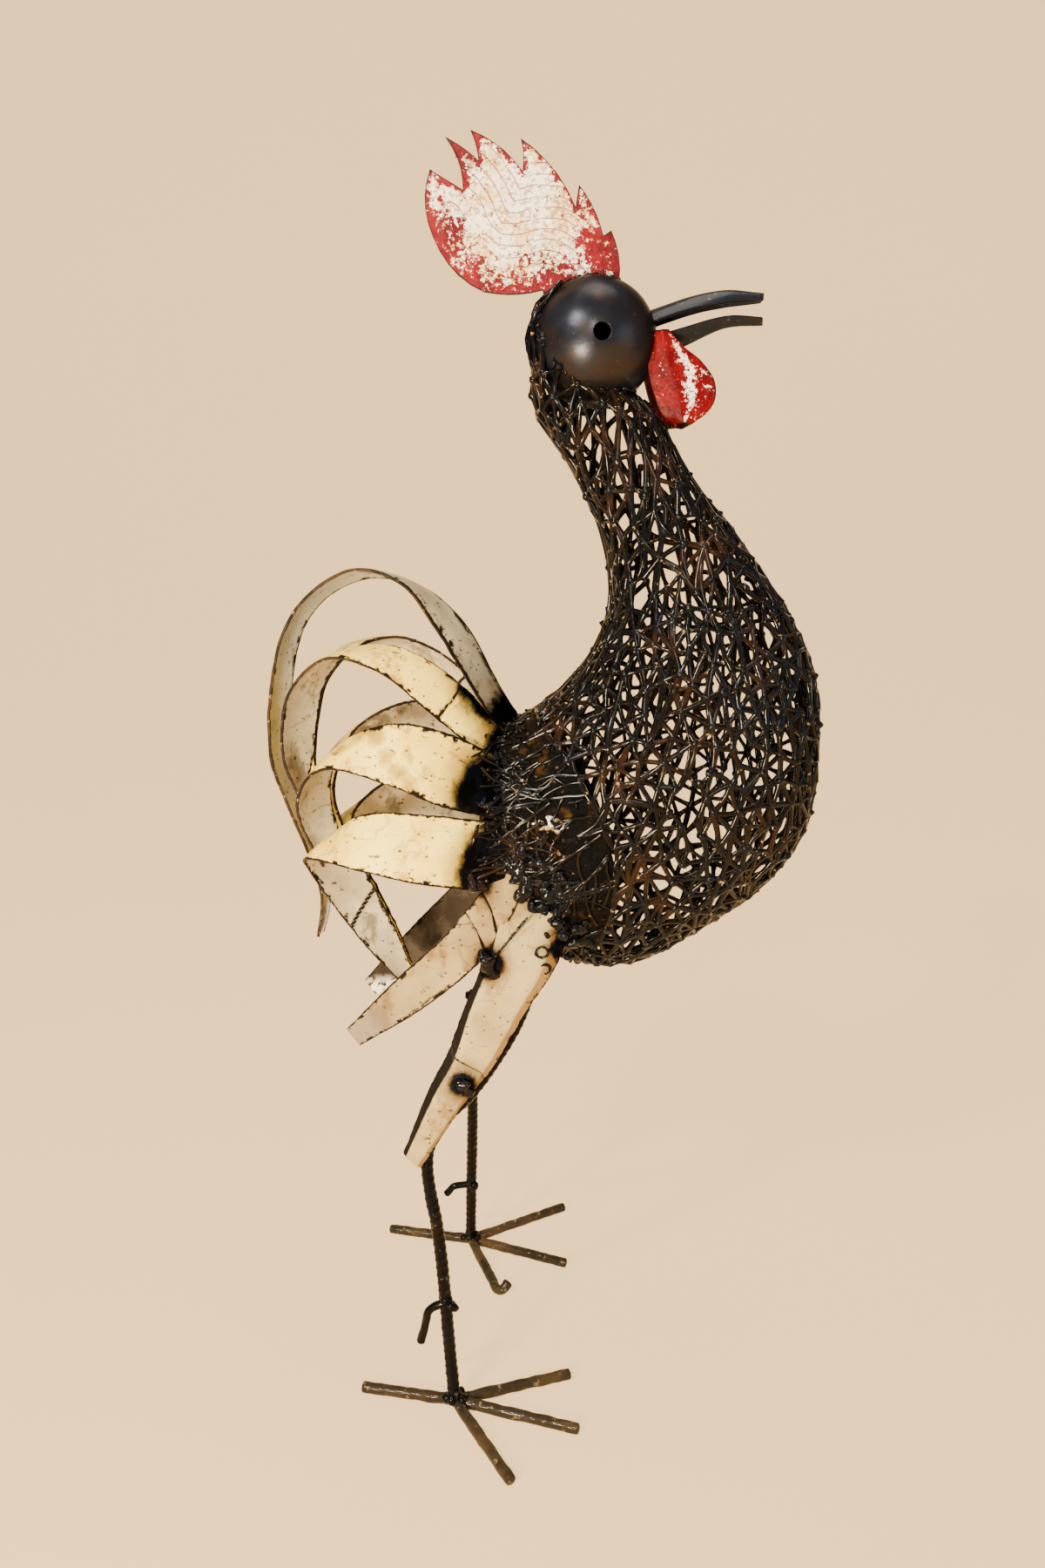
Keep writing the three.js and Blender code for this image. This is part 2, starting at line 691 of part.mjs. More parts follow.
const reach = new THREE.Box3().setFromObject(rooster);
const middle = reach.getCenter(new THREE.Vector3());
rooster.position.set(-middle.x, -middle.y, -reach.min.z);

export default rooster;
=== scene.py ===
import math
import random
from bisect import bisect_right
from collections import namedtuple
from itertools import product

import bmesh
import bpy
from mathutils import Matrix, Vector, kdtree, noise
from mathutils.bvhtree import BVHTree


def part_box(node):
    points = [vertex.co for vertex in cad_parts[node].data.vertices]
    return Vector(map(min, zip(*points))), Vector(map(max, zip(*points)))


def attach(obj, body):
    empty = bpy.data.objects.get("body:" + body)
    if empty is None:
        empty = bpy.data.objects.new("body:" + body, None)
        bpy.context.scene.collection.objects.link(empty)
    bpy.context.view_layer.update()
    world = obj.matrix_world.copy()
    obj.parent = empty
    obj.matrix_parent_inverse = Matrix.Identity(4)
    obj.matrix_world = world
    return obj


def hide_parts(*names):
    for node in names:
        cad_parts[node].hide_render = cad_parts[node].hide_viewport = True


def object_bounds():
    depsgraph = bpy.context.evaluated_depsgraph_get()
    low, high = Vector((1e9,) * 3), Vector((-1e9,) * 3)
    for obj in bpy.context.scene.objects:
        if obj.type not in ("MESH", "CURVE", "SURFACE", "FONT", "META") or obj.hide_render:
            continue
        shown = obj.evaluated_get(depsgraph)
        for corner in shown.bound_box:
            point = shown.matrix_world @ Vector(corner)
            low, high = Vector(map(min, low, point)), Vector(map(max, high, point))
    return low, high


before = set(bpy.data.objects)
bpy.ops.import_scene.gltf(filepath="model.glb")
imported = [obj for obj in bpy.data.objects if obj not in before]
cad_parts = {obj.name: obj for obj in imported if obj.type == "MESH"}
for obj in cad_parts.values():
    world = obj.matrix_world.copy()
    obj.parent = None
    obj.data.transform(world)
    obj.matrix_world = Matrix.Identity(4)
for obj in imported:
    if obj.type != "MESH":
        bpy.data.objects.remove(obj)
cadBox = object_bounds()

dice = random.Random(11)
print("frame loaded with", len(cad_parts), "pieces")

# Every point below is in the figure's own millimetres, measured from between its ankles
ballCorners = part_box("head_ball")
ballCentre = (ballCorners[0] + ballCorners[1]) / 2
figureStart = ballCentre - Vector((94, 0, 723.5)) / 1000


def place(x, y, z):
    return figureStart + Vector((x, y, z)) / 1000


def fromBall(x, y, z):
    return ballCentre + Vector((x, y, z)) / 1000


sides = (("right", -1), ("left", 1))


# Camera, floor and lights

view = {"lens": 26.0, "tilt": 78, "fromBall": (-0.047, -0.786, -0.1285)}

cameraData = bpy.data.cameras.new("camera")
cameraData.lens = view["lens"]
cameraData.sensor_width = 36
camera = bpy.data.objects.new("camera", cameraData)
camera.location = ballCentre + Vector(view["fromBall"])
camera.rotation_euler = (math.radians(view["tilt"]), 0, 0)
bpy.context.scene.collection.objects.link(camera)
bpy.context.scene.camera = camera

studio = {
    "floorColour": "#82694A",
    "floorShade": "#7F6647",
    "floorGlow": 1.76,
    "glowColour": "#FFD494",
    "worldColour": "#EFE9E2",
    "worldStrength": 0.4,
    # name: place, aimed at, size, power, colour
    "lamps": {
        "key": ((-1.15, -1.45, 1.9), (0, 0, 0.45), 0.22, 78, "#FFF0DA"),
        "behindCamera": ((-0.15, -1.9, 1.4), (0, 0, 0.6), 0.35, 20, "#FFF4E6"),
        "lowLeft": ((-0.42, -0.85, 0.38), (0.03, 0, 0.72), 0.12, 26, "#FFE9C4"),
        "fill": ((1.5, -1.0, 0.9), (0, 0, 0.5), 1.0, 8, "#DCE8FF"),
        "top": ((0.1, 0.1, 2.2), (0, 0, 0.5), 0.8, 20, "#FFF1DD"),
    },
}


def paintColour(code):
    parts = [int(code[i:i + 2], 16) / 255 for i in (1, 3, 5)]
    linear = [p / 12.92 if p <= 0.04045 else ((p + 0.055) / 1.055) ** 2.4 for p in parts]
    return (*linear, 1)


def addLamp(name, spot, aim, size, power, colour):
    data = bpy.data.lights.new(name, "AREA")
    data.size = size
    data.energy = power
    data.color = paintColour(colour)[:3]
    lamp = bpy.data.objects.new(name, data)
    lamp.location = spot
    lamp.rotation_euler = (Vector(aim) - Vector(spot)).to_track_quat("-Z", "Y").to_euler()
    bpy.context.scene.collection.objects.link(lamp)


for lampName, values in studio["lamps"].items():
    addLamp(lampName, *values)

world = bpy.data.worlds.new("studio")
world.use_nodes = True
world.node_tree.nodes["Background"].inputs["Color"].default_value = paintColour(studio["worldColour"])
world.node_tree.nodes["Background"].inputs["Strength"].default_value = studio["worldStrength"]
bpy.context.scene.world = world
print("camera and lamps placed")


# Shader nodes of one material or group, with short names for what is used most

class Shading:
    def __init__(self, tree):
        self.tree = tree

    def give(self, socket, value):
        if isinstance(value, bpy.types.NodeSocket):
            self.tree.links.new(value, socket)
        else:
            socket.default_value = value

    def node(self, kind, inputs, **settings):
        made = self.tree.nodes.new("ShaderNode" + kind)
        for key, value in settings.items():
            setattr(made, key, value)
        for key, value in inputs.items():
            self.give(made.inputs[key], value)
        return made.outputs

    def spots(self):
        return self.node("TexCoord", {})["Object"]

    def across(self):
        return self.axis(self.node("UVMap", {}, uv_map="UVMap")["UV"], "X")

    def axis(self, vector, name):
        return self.node("SeparateXYZ", {0: vector})[name]

    def mark(self, label):
        return self.node("Attribute", {}, attribute_name=label)["Fac"]

    def math(self, operation, first, second=0.0):
        return self.node("Math", {0: first, 1: second}, operation=operation)[0]

    def sum(self, first, second):
        return self.math("ADD", first, second)

    def less(self, first, second):
        return self.math("SUBTRACT", first, second)

    def product(self, first, second):
        return self.math("MULTIPLY", first, second)

    def most(self, first, second):
        return self.math("MAXIMUM", first, second)

    def rest(self, value):
        return self.less(1.0, value)

    # Noise about nought, as strong as its amount
    def swing(self, value, amount):
        return self.product(self.less(value, 0.5), amount)

    def spread(self, value, low, high, first=0.0, last=1.0):
        inputs = {"Value": value, "From Min": low, "From Max": high, "To Min": first, "To Max": last}
        return self.node("MapRange", inputs, interpolation_type="SMOOTHSTEP")["Result"]

    def noise(self, scale, detail, roughness=0.5, vector=None):
        return self.node("TexNoise", {"Vector": self.spots() if vector is None else vector, "Scale": scale,
                                      "Detail": detail, "Roughness": roughness})["Fac"]

    def mix(self, share, first, second):
        first, second = (paintColour(c) if isinstance(c, str) else c for c in (first, second))
        return self.node("Mix", {0: share, 6: first, 7: second}, data_type="RGBA")[2]

    def group(self, tree, **inputs):
        made = self.tree.nodes.new("ShaderNodeGroup")
        made.node_tree = tree
        for key, value in inputs.items():
            self.give(made.inputs[key], value)
        return made.outputs[0]

    def patch(self, **inputs):
        return self.group(patchGroup, **inputs)

    def hammered(self, scale, fine, fineShare):
        return self.group(hammerGroup, Scale=scale, Fine=fine, FineShare=fineShare)


def newGroup(name, takes, build):
    tree = bpy.data.node_groups.new(name, "ShaderNodeTree")
    for label, value in takes.items():
        kind = "NodeSocketVector" if isinstance(value, tuple) else "NodeSocketFloat"
        tree.interface.new_socket(label, in_out="INPUT", socket_type=kind).default_value = value
    tree.interface.new_socket("Result", in_out="OUTPUT", socket_type="NodeSocketFloat")
    made = build(Shading(tree), tree.nodes.new("NodeGroupInput").outputs)
    tree.links.new(made, tree.nodes.new("NodeGroupOutput").inputs["Result"])
    return tree


# Cloudy patches that cover part of a surface
def patches(m, taken):
    moved = m.node("VectorMath", {0: m.spots(), 1: taken["Stretch"], 2: taken["Offset"]},
                   operation="MULTIPLY_ADD")[0]
    cloud = m.noise(taken["Scale"], 6.0, 0.62, moved)
    return m.spread(cloud, m.less(taken["Level"], taken["Softness"]),
                    m.sum(taken["Level"], taken["Softness"]))


# Chips and bare metal along the long edges of a sheet, which are 0 and 1 across its map
def edgeWear(m, taken):
    across = m.across()
    toEdge = m.math("MINIMUM", across, m.rest(across))
    ragged = m.product(m.swing(m.noise(taken["Scale"], 5.0, 0.7), taken["Ragged"]), 4.0)
    return m.rest(m.spread(m.sum(toEdge, ragged), m.product(taken["Width"], 0.5), taken["Width"]))


# Soot and heat colour beside a weld, by distance from a point given for both sides of the figure
def weldBurn(m, taken):
    ownSpot = m.node("VectorMath", {0: m.spots(), 1: figureStart}, operation="SUBTRACT")[0]
    x, y, z = m.node("SeparateXYZ", {0: ownSpot})
    folded = m.node("CombineXYZ", {0: x, 1: m.math("ABSOLUTE", y), 2: z})[0]
    away = m.node("VectorMath", {0: folded, 1: taken["Centre"]}, operation="DISTANCE")["Value"]
    away = m.sum(away, m.swing(m.noise(85.0, 6.0, 0.7, ownSpot), taken["Smoke"]))
    return m.rest(m.spread(away, taken["Reach"], m.sum(taken["Reach"], taken["Soft"])))


# Long thin scratches along one direction of the piece
def scratches(m, taken):
    turned = m.node("Mapping", {"Vector": m.spots(), "Rotation": taken["Turn"],
                                "Scale": taken["Stretch"]})[0]
    offMiddle = m.math("ABSOLUTE", m.less(m.noise(taken["Scale"], 3.0, 0.5, turned), 0.5))
    return m.rest(m.spread(offMiddle, 0.0, taken["Width"]))


# Small round specks of spatter
def specks(m, taken):
    cells = m.node("TexVoronoi", {"Vector": m.spots(), "Scale": taken["Scale"]})
    chosen = m.math("LESS_THAN", m.node("SeparateColor", {0: cells["Color"]})["Red"], taken["Share"])
    return m.product(m.rest(m.spread(cells["Distance"], m.product(taken["Size"], 0.6), taken["Size"])),
                     chosen)


# Hammer marks and pitting, as a height
def hammerMarks(m, taken):
    dents = m.node("TexVoronoi", {"Vector": m.spots(), "Scale": taken["Scale"], "Smoothness": 0.6},
                   feature="SMOOTH_F1")["Distance"]
    return m.sum(dents, m.product(m.noise(taken["Fine"], 4.0, 0.6), taken["FineShare"]))


patchGroup = newGroup(
    "patches", {"Scale": 30.0, "Level": 0.5, "Softness": 0.1, "Stretch": (1, 1, 1), "Offset": (0, 0, 0)},
    patches)
edgeGroup = newGroup("edgeWear", {"Width": 0.06, "Ragged": 0.05, "Scale": 160.0}, edgeWear)
burnGroup = newGroup("weldBurn", {"Centre": (0, 0, 0), "Reach": 0.03, "Soft": 0.02, "Smoke": 0.02}, weldBurn)
scratchGroup = newGroup(
    "scratches", {"Scale": 60.0, "Width": 0.01, "Turn": (0, 0, 0), "Stretch": (0.12, 1, 1)}, scratches)
speckGroup = newGroup("specks", {"Scale": 220.0, "Size": 0.16, "Share": 0.5}, specks)
hammerGroup = newGroup("hammered", {"Scale": 120.0, "Fine": 500.0, "FineShare": 0.3}, hammerMarks)

materials = {}
dimTint = (0.4, 0.4, 0.4, 1)


def newMaterial(name):
    made = bpy.data.materials.new(name)
    made.use_nodes = True
    materials[name] = made
    return Shading(made.node_tree)


def setShader(m, inputs, height=None, depth=0.0, strength=0.0):
    shader = m.tree.nodes["Principled BSDF"]
    for label, value in inputs.items():
        m.give(shader.inputs[label], value)
    if height is not None:
        bump = m.node("Bump", {"Height": height, "Distance": depth, "Strength": strength})["Normal"]
        m.give(shader.inputs["Normal"], bump)


# Dark steel that was heated and oiled: blue-black with brown patina and rubbed places, which some looks
# below make pale gold and white as a painted glint
def darkSteel(name, look):
    m = newMaterial(name)
    tint = m.mix(m.patch(Scale=34.0, Level=0.52, Softness=0.12, Offset=(3, 1, 2)), look["dark"],
                 look["blue"])
    patina = m.patch(Scale=look["patinaScale"], Level=look["patinaLevel"], Softness=0.08)
    tint = m.mix(patina, tint, look["brown"])
    worn = m.patch(Scale=210.0, Level=look["rubbedAndGlintLevel"], Softness=0.05, Offset=(1, 5, 2))
    tint = m.mix(worn, tint, look["rubbedAndGlint"])
    spatter = m.group(speckGroup, Scale=260.0, Size=0.2, Share=look["spatter"])
    height = m.sum(m.hammered(look["dents"], 500.0, look["grit"]), m.product(spatter, 0.5))
    setShader(m, {
        "Base Color": tint, "Roughness": m.spread(m.noise(90.0, 5.0), 0.3, 0.7, *look["roughness"]),
        "Metallic": look["metal"], "Coat Weight": look["oil"], "Coat Roughness": 0.08,
        "Specular IOR Level": look["gloss"], "Specular Tint": dimTint}, height, look["depth"], look["bump"])


plainSteel = {
    "dark": "#090706", "blue": "#07080B", "brown": "#22140A", "rubbedAndGlint": "#B08E60", "patinaLevel": 0.58,
    "patinaScale": 26.0, "rubbedAndGlintLevel": 0.68, "roughness": (0.12, 0.3), "dents": 190.0, "grit": 0.4,
    "spatter": 0.4, "metal": 0.05, "bump": 0.6, "oil": 0.2, "gloss": 0.1, "depth": 0.0006,
}
steels = {
    "ballSteel": {"dark": "#2B2C31", "blue": "#262A33", "brown": "#332C2B", "rubbedAndGlint": "#44403D",
                  "patinaLevel": 0.53, "roughness": (0.27, 0.38), "dents": 60.0, "grit": 0.2,
                  "spatter": 0.12, "bump": 0.3, "metal": 0.8, "oil": 0.0},
    "wireSteel": {},
    # wireBrown is brown patina, brightened as painted sunlight; the pale gold wires below are a painted
    # glint
    "wireBrown": {"dark": "#563519", "blue": "#331F10", "brown": "#7A5226", "rubbedAndGlint": "#F0D49C",
                  "rubbedAndGlintLevel": 0.58, "metal": 0.7},
    "wireGlintGold": {"dark": "#97733C", "blue": "#6A4D28", "brown": "#B8935A", "rubbedAndGlint": "#F6E6BC",
                 "rubbedAndGlintLevel": 0.52, "roughness": (0.22, 0.36), "metal": 0.9},
    "rumpSteel": {"dark": "#0C0906", "blue": "#08090A", "brown": "#4A310F", "rubbedAndGlint": "#A08A5A",
                  "patinaLevel": 0.64, "patinaScale": 48.0, "rubbedAndGlintLevel": 0.7, "roughness": (0.3, 0.6),
                  "dents": 140.0, "grit": 1.6, "bump": 1.0, "oil": 0.0, "metal": 0.3, "gloss": 0.12,
                  "depth": 0.0014},
    # rumpGlint is pale gold to white all over: a painted glint of the lamp on the rump
    "rumpGlint": {"dark": "#A8894C", "blue": "#5E4A28", "brown": "#C8AE72", "rubbedAndGlint": "#FFFFFF",
                  "rubbedAndGlintLevel": 0.51, "roughness": (0.14, 0.3), "dents": 320.0, "grit": 1.6, "metal": 0.9,
                  "bump": 1.0, "depth": 0.0012},
    "weldSteel": {"dark": "#070606", "blue": "#07090D", "brown": "#150D07", "rubbedAndGlint": "#8A7454",
                  "patinaLevel": 0.62, "rubbedAndGlintLevel": 0.72, "roughness": (0.1, 0.3), "dents": 260.0,
                  "oil": 0.28, "grit": 0.8, "depth": 0.0009},
    "legSteel": {"dark": "#070605", "blue": "#07080A", "brown": "#100B07", "rubbedAndGlint": "#42362C",
                 "rubbedAndGlintLevel": 0.66, "oil": 0.1, "gloss": 0.06, "metal": 0.0,
                 "roughness": (0.18, 0.34), "dents": 230.0, "grit": 0.3},
    "toeSteel": {"dark": "#2A2218", "blue": "#201C16", "brown": "#3A2E1D", "rubbedAndGlint": "#67563B",
                 "patinaLevel": 0.52, "rubbedAndGlintLevel": 0.63, "roughness": (0.34, 0.52), "dents": 160.0,
                 "oil": 0.1},
    "beakSteel": {"dark": "#24262B", "blue": "#1F232B", "brown": "#2B2A2A", "rubbedAndGlint": "#4C4A47",
                  "rubbedAndGlintLevel": 0.64, "roughness": (0.3, 0.42), "dents": 60.0, "grit": 0.2, "spatter": 0.1,
                  "oil": 0.1, "metal": 0.7},
    "cutEdge": {"dark": "#221B15", "blue": "#1D1A18", "brown": "#3A2B1C", "rubbedAndGlint": "#8A7454",
                "patinaLevel": 0.52, "rubbedAndGlintLevel": 0.62, "roughness": (0.4, 0.6), "dents": 300.0,
                "oil": 0.0},
}
for steelName, look in steels.items():
    darkSteel(steelName, {**plainSteel, **look})

def metres(point):
    return tuple(v / 1000 for v in point)


# Colours of the wear on old cream paint
wear = {"scratch": "#6E563A", "speck": "#33281E", "halo": "#523612", "soot": "#090807",
        "blueSoot": "#0D0F14", "chip": "#1A130E"}


# Old cream paint on sheet: stained, chipped along its edges and creases, and burnt beside the welds; some
# looks also add painted shade along a side and a flange
def creamPaint(name, look):
    m = newMaterial(name)
    across = m.across()
    tint = m.mix(m.patch(Scale=22.0, Level=0.5, Softness=0.14, Offset=(2, 7, 1)), look["light"],
                 look["warm"])

    def lay(mask, strength, colour):
        return m.mix(m.product(mask, strength), tint, colour)

    # A darker olive-brown band along one long side of the sheet: painted shade
    if "shadedBorder" in look:
        low, high, colour = look["shadedBorder"]
        tint = lay(m.spread(across, low, high), 0.85, colour)
    tint = lay(m.patch(Scale=38.0, Level=look["stainLevel"], Softness=0.06, Stretch=(1, 1, 0.6)), 0.75,
               look["stain"])
    rings = m.rest(m.spread(m.math("ABSOLUTE", m.less(m.noise(17.0, 3.0), 0.56)), 0.0, 0.012))
    tint = lay(rings, 0.4, look["stain"])
    marks = m.product(m.group(scratchGroup, Scale=95.0, Width=0.008, Turn=(0, 0.6, 0), Stretch=(0.25, 1, 1)),
                      m.patch(Scale=60.0, Level=0.52, Softness=0.06, Offset=(9, 1, 4)))
    tint = lay(marks, 0.7, wear["scratch"])
    flecks = m.patch(Scale=210.0, Level=0.64, Softness=0.015, Stretch=(0.5, 1, 1), Offset=(3, 3, 3))
    dots = m.most(m.group(speckGroup, Scale=185.0, Size=0.18, Share=0.42), flecks)
    tint = lay(dots, 0.85, wear["speck"])
    if "tip" in look:
        centre, soft, colour = look["tip"]
        tint = lay(m.group(burnGroup, Centre=metres(centre), Reach=0.06, Soft=soft, Smoke=0.03), 0.8, colour)
    for centre, reach, soft, colour in look.get("tints", []):
        tint = lay(m.group(burnGroup, Centre=metres(centre), Reach=reach, Soft=soft, Smoke=0.012), 0.75,
                   colour)
    black = 0.0
    for centre, reach, soft, smoke in look["burns"]:
        centre = metres(centre)
        halo = m.group(burnGroup, Centre=centre, Reach=reach - soft * 0.2, Soft=soft * 3.4, Smoke=smoke)
        tint = lay(halo, 0.8, wear["halo"])
        black = m.most(black, m.group(burnGroup, Centre=centre, Reach=reach, Soft=soft, Smoke=smoke))
    soot = m.mix(m.patch(Scale=60.0, Level=0.52, Softness=0.06, Offset=(5, 5, 1)), wear["soot"],
                 wear["blueSoot"])
    tint = m.mix(black, tint, soot)
    broken = m.product(m.group(edgeGroup, Width=look["edge"] * 2.6, Ragged=0.06, Scale=150.0),
                       m.patch(Scale=80.0, Level=0.54, Softness=0.02, Offset=(8, 8, 2)))
    cracked = m.product(m.spread(m.mark("crease"), 0.45, 0.8),
                        m.patch(Scale=130.0, Level=0.4, Softness=0.05, Offset=(1, 8, 2)))
    chips = m.most(m.most(m.group(edgeGroup, Width=look["edge"], Ragged=0.03, Scale=260.0), broken), cracked)
    tint = m.mix(chips, tint, wear["chip"])
    # The flange is painted near black: painted shade on the flange bent back
    if "shadedFlange" in look:
        fold, colour = look["shadedFlange"]
        tint = m.mix(m.rest(m.spread(across, fold - 0.015, fold + 0.015)), tint, colour)
    if "bareTip" in look:
        tip, colour = look["bareTip"]
        below = m.rest(m.spread(m.axis(m.spots(), "Z"), tip, tip + 0.012))
        flaked = m.patch(Scale=260.0, Level=0.46, Softness=0.06, Offset=(2, 2, 7))
        tint = m.mix(m.product(below, flaked), tint, colour)
    bare = m.product(chips, m.rest(black))
    height = m.less(m.hammered(75.0, 420.0, 0.5), m.product(chips, 0.8))
    height = m.sum(height, m.product(m.product(black, m.hammered(230.0, 600.0, 1.0)), 1.6))
    setShader(m, {
        "Base Color": tint, "Roughness": m.spread(m.most(bare, black), 0.0, 1.0, 0.36, 0.5),
        "Metallic": m.most(m.product(bare, 0.5), black), "Specular IOR Level": 0.2,
        "Specular Tint": dimTint}, height, 0.0005, 0.5)


# Red gloss paint, turned pale cream-white where the piece's own wear-and-glare layer says so, a painted
# glare of the lamp on the paint, and kept red in its pits and scratches
def redPaint(name, look):
    m = newMaterial(name)
    tint = m.mix(m.patch(Scale=55.0, Level=0.52, Softness=0.12), look["red"], look["deep"])
    shifted = m.sum(m.mark("worn"), m.swing(m.noise(look["cloud"], 9.0, 0.8), look["ragged"]))
    shifted = m.sum(shifted, m.swing(m.noise(look["fine"], 6.0, 0.7), look["speckled"]))
    wave = m.math("SINE", m.sum(m.product(m.mark("sweep"), look["lines"]),
                                m.product(m.noise(28.0, 2.0), 9.0)))
    lines = m.product(m.spread(wave, 0.92, 0.98),
                      m.patch(Scale=48.0, Level=0.46, Softness=0.03, Offset=(1, 4, 9)))
    pits = m.patch(Scale=380.0, Level=0.56, Softness=0.04, Offset=(1, 1, 8))
    cracks = m.product(m.group(scratchGroup, Scale=150.0, Width=0.012, Turn=(0, 0.9, 0),
                               Stretch=(0.5, 1, 1)),
                       m.patch(Scale=90.0, Level=0.53, Softness=0.03))
    kept = m.most(m.most(lines, m.product(pits, 0.7)), cracks)
    # Here bare marks the painted glare: pale cream-white over the red
    bare = m.product(m.spread(shifted, 0.46, 0.56), m.rest(m.product(kept, 0.85)))
    glareTint = m.mix(m.patch(Scale=65.0, Level=0.5, Softness=0.1, Offset=(6, 2, 2)), look["pale"],
                  look["cream"])
    tint = m.mix(bare, tint, glareTint)
    dots = m.group(speckGroup, Scale=230.0, Size=0.14, Share=0.22)
    tint = m.mix(m.product(dots, 0.7), tint, look["speck"])
    tint = m.mix(m.rest(m.spread(m.mark("inset"), 0.0003, 0.0009)), tint, look["rim"])
    height = m.sum(m.hammered(120.0, 420.0, 0.9), m.product(kept, -0.35))
    setShader(m, {"Base Color": tint, "Roughness": 0.38, "Metallic": 0.0,
                  "Specular IOR Level": look["gloss"]},
              height, 0.0007, 0.6)


# Each burn is its centre, reach, softness and smoke; each tint is its centre, reach, softness and colour
rootBurn = ((110, 0, 420), 0.104, 0.009, 0.022)
upperBurns = [((40, 34, 512), 0.034, 0.007, 0.014), ((62, 34, 455), 0.036, 0.007, 0.014)]
middleBurns = [((38, 58, 428), 0.0325, 0.008, 0.012)]
lowerBurns = [((44, 58, 379), 0.0365, 0.007, 0.012)]
foldTints = [((x, y, z), reach, 0.006, "#8E6A20") for x, y, z, reach in (
    (-47, 58, 470, 0.003), (-40, 62, 460, 0.0025), (-33, 66, 449, 0.0025), (-27, 68, 440, 0.003),
    (-76, 56, 469, 0.006), (-66, 54, 476, 0.006), (-54, 54, 479, 0.005))]
plateBurns = [
    ((24, 66, 318), 0.0085, 0.004, 0.005), ((6, 76, 236), 0.007, 0.005, 0.007),
    ((18, 60, 372), 0.007, 0.005, 0.01), ((56, 62, 364), 0.007, 0.004, 0.012),
    ((82, 60, 328), 0.013, 0.004, 0.02)]
sideStrip = {"light": "#F2DA66", "warm": "#DFBC50", "stain": "#8A5E1E", "stainLevel": 0.61, "edge": 0.045}
# Painted shade: the plates' inside faces get a dark copy of their cream paint
shadedInsidePlate = {"light": "#4A4238", "warm": "#3A3228", "stain": "#282018", "stainLevel": 0.5, "edge": 0.05,
               "burns": plateBurns}
paints = {
    "upperPaint": {**sideStrip, "burns": upperBurns},
    "middlePaint": {**sideStrip, "burns": middleBurns, "tints": foldTints},
    "lowerPaint": {**sideStrip, "burns": lowerBurns},
    # Painted shade: the strips' inside faces get darker, greyer copies of their outside paint
    "tailInsideShade": {"light": "#C2B592", "warm": "#A69878", "stain": "#4C3F29", "stainLevel": 0.6,
                   "edge": 0.04, "burns": [rootBurn]},
    "centrePaint": {"light": "#AAA080", "warm": "#908466", "stain": "#4C4130", "stainLevel": 0.57,
                    "edge": 0.1, "burns": [rootBurn]},
    "centreInsideShade": {"light": "#A9A79A", "warm": "#959282", "stain": "#4C4A46", "stainLevel": 0.58,
                     "edge": 0.06, "burns": [rootBurn]},
    "platePaint": {"light": "#A39062", "warm": "#8B774E", "stain": "#684719", "stainLevel": 0.6,
                   "edge": 0.055, "burns": plateBurns, "tip": ((-100, 50, 208), 0.05, "#7C7163")},
    # The thigh's bent-back flange and the band past its crease are painted dark as shade
    "thighPaint": {"light": "#AE9A6A", "warm": "#978355", "stain": "#6E4C1E", "stainLevel": 0.61,
                   "edge": 0.034, "burns": plateBurns, "shadedFlange": (0.3, "#15110E"),
                   "shadedBorder": (0.72, 0.78, "#77592A")},
    "plateInsideShade": shadedInsidePlate,
    "wingInsideShade": {**shadedInsidePlate, "bareTip": (0.256, "#F4EED8")},
}
for paintName, look in paints.items():
    creamPaint(paintName, look)

gloss = {"speck": "#5A1416", "rim": "#2A0A0A"}
# pale and cream are the colours of the painted glare on the comb and wattles
redPaint("combPaint", {**gloss, "red": "#780110", "deep": "#520109", "pale": "#FFF6E2", "cream": "#E8CD96",
                       "cloud": 70.0, "fine": 360.0, "ragged": 1.7, "speckled": 4.4, "lines": 950.0,
                       "gloss": 0.16})
redPaint("wattlePaint", {**gloss, "red": "#6A0006", "deep": "#480005", "pale": "#FFF4EC", "cream": "#F2C8BC",
                         "cloud": 130.0, "fine": 420.0, "ragged": 2.6, "speckled": 2.4, "lines": 0.0,
                         "gloss": 0.1})

paper = newMaterial("floorPaper")
paperTint = paper.mix(paper.patch(Scale=3.0, Level=0.5, Softness=0.3), studio["floorColour"],
                      studio["floorShade"])
setShader(paper, {
    "Base Color": paperTint, "Roughness": 0.95, "Metallic": 0.0,
    "Emission Color": paintColour(studio["glowColour"]), "Emission Strength": studio["floorGlow"]})
print("materials ready:", len(materials))


# Floor that sweeps up into the backdrop
floor = {"width": 6.0, "front": -3.0, "turn": 2.2, "radius": 1.6, "height": 4.5}
bm = bmesh.new()
start = [bm.verts.new((x, floor["front"], 0)) for x in (-floor["width"] / 2, floor["width"] / 2)]
line = bm.edges.new(start)
flat = bmesh.ops.extrude_edge_only(bm, edges=[line])
flatVerts = [v for v in flat["geom"] if isinstance(v, bmesh.types.BMVert)]
bmesh.ops.translate(bm, verts=flatVerts, vec=(0, floor["turn"] - floor["front"], 0))
lastEdge = [e for e in flat["geom"] if isinstance(e, bmesh.types.BMEdge)
            and all(v in flatVerts for v in e.verts)]
swept = bmesh.ops.spin(bm, geom=lastEdge + flatVerts, cent=(0, floor["turn"], floor["radius"]),
                       axis=(1, 0, 0), angle=math.radians(90), steps=24)
topEdges = [e for e in swept["geom_last"] if isinstance(e, bmesh.types.BMEdge)]
rise = bmesh.ops.extrude_edge_only(bm, edges=topEdges)
bmesh.ops.translate(bm, verts=[v for v in rise["geom"] if isinstance(v, bmesh.types.BMVert)],
                    vec=(0, 0, floor["height"]))
bmesh.ops.recalc_face_normals(bm, faces=bm.faces)
floorMesh = bpy.data.meshes.new("floor")
bm.to_mesh(floorMesh)
bm.free()
floorMesh.shade_smooth()
floorPiece = bpy.data.objects.new("floor", floorMesh)
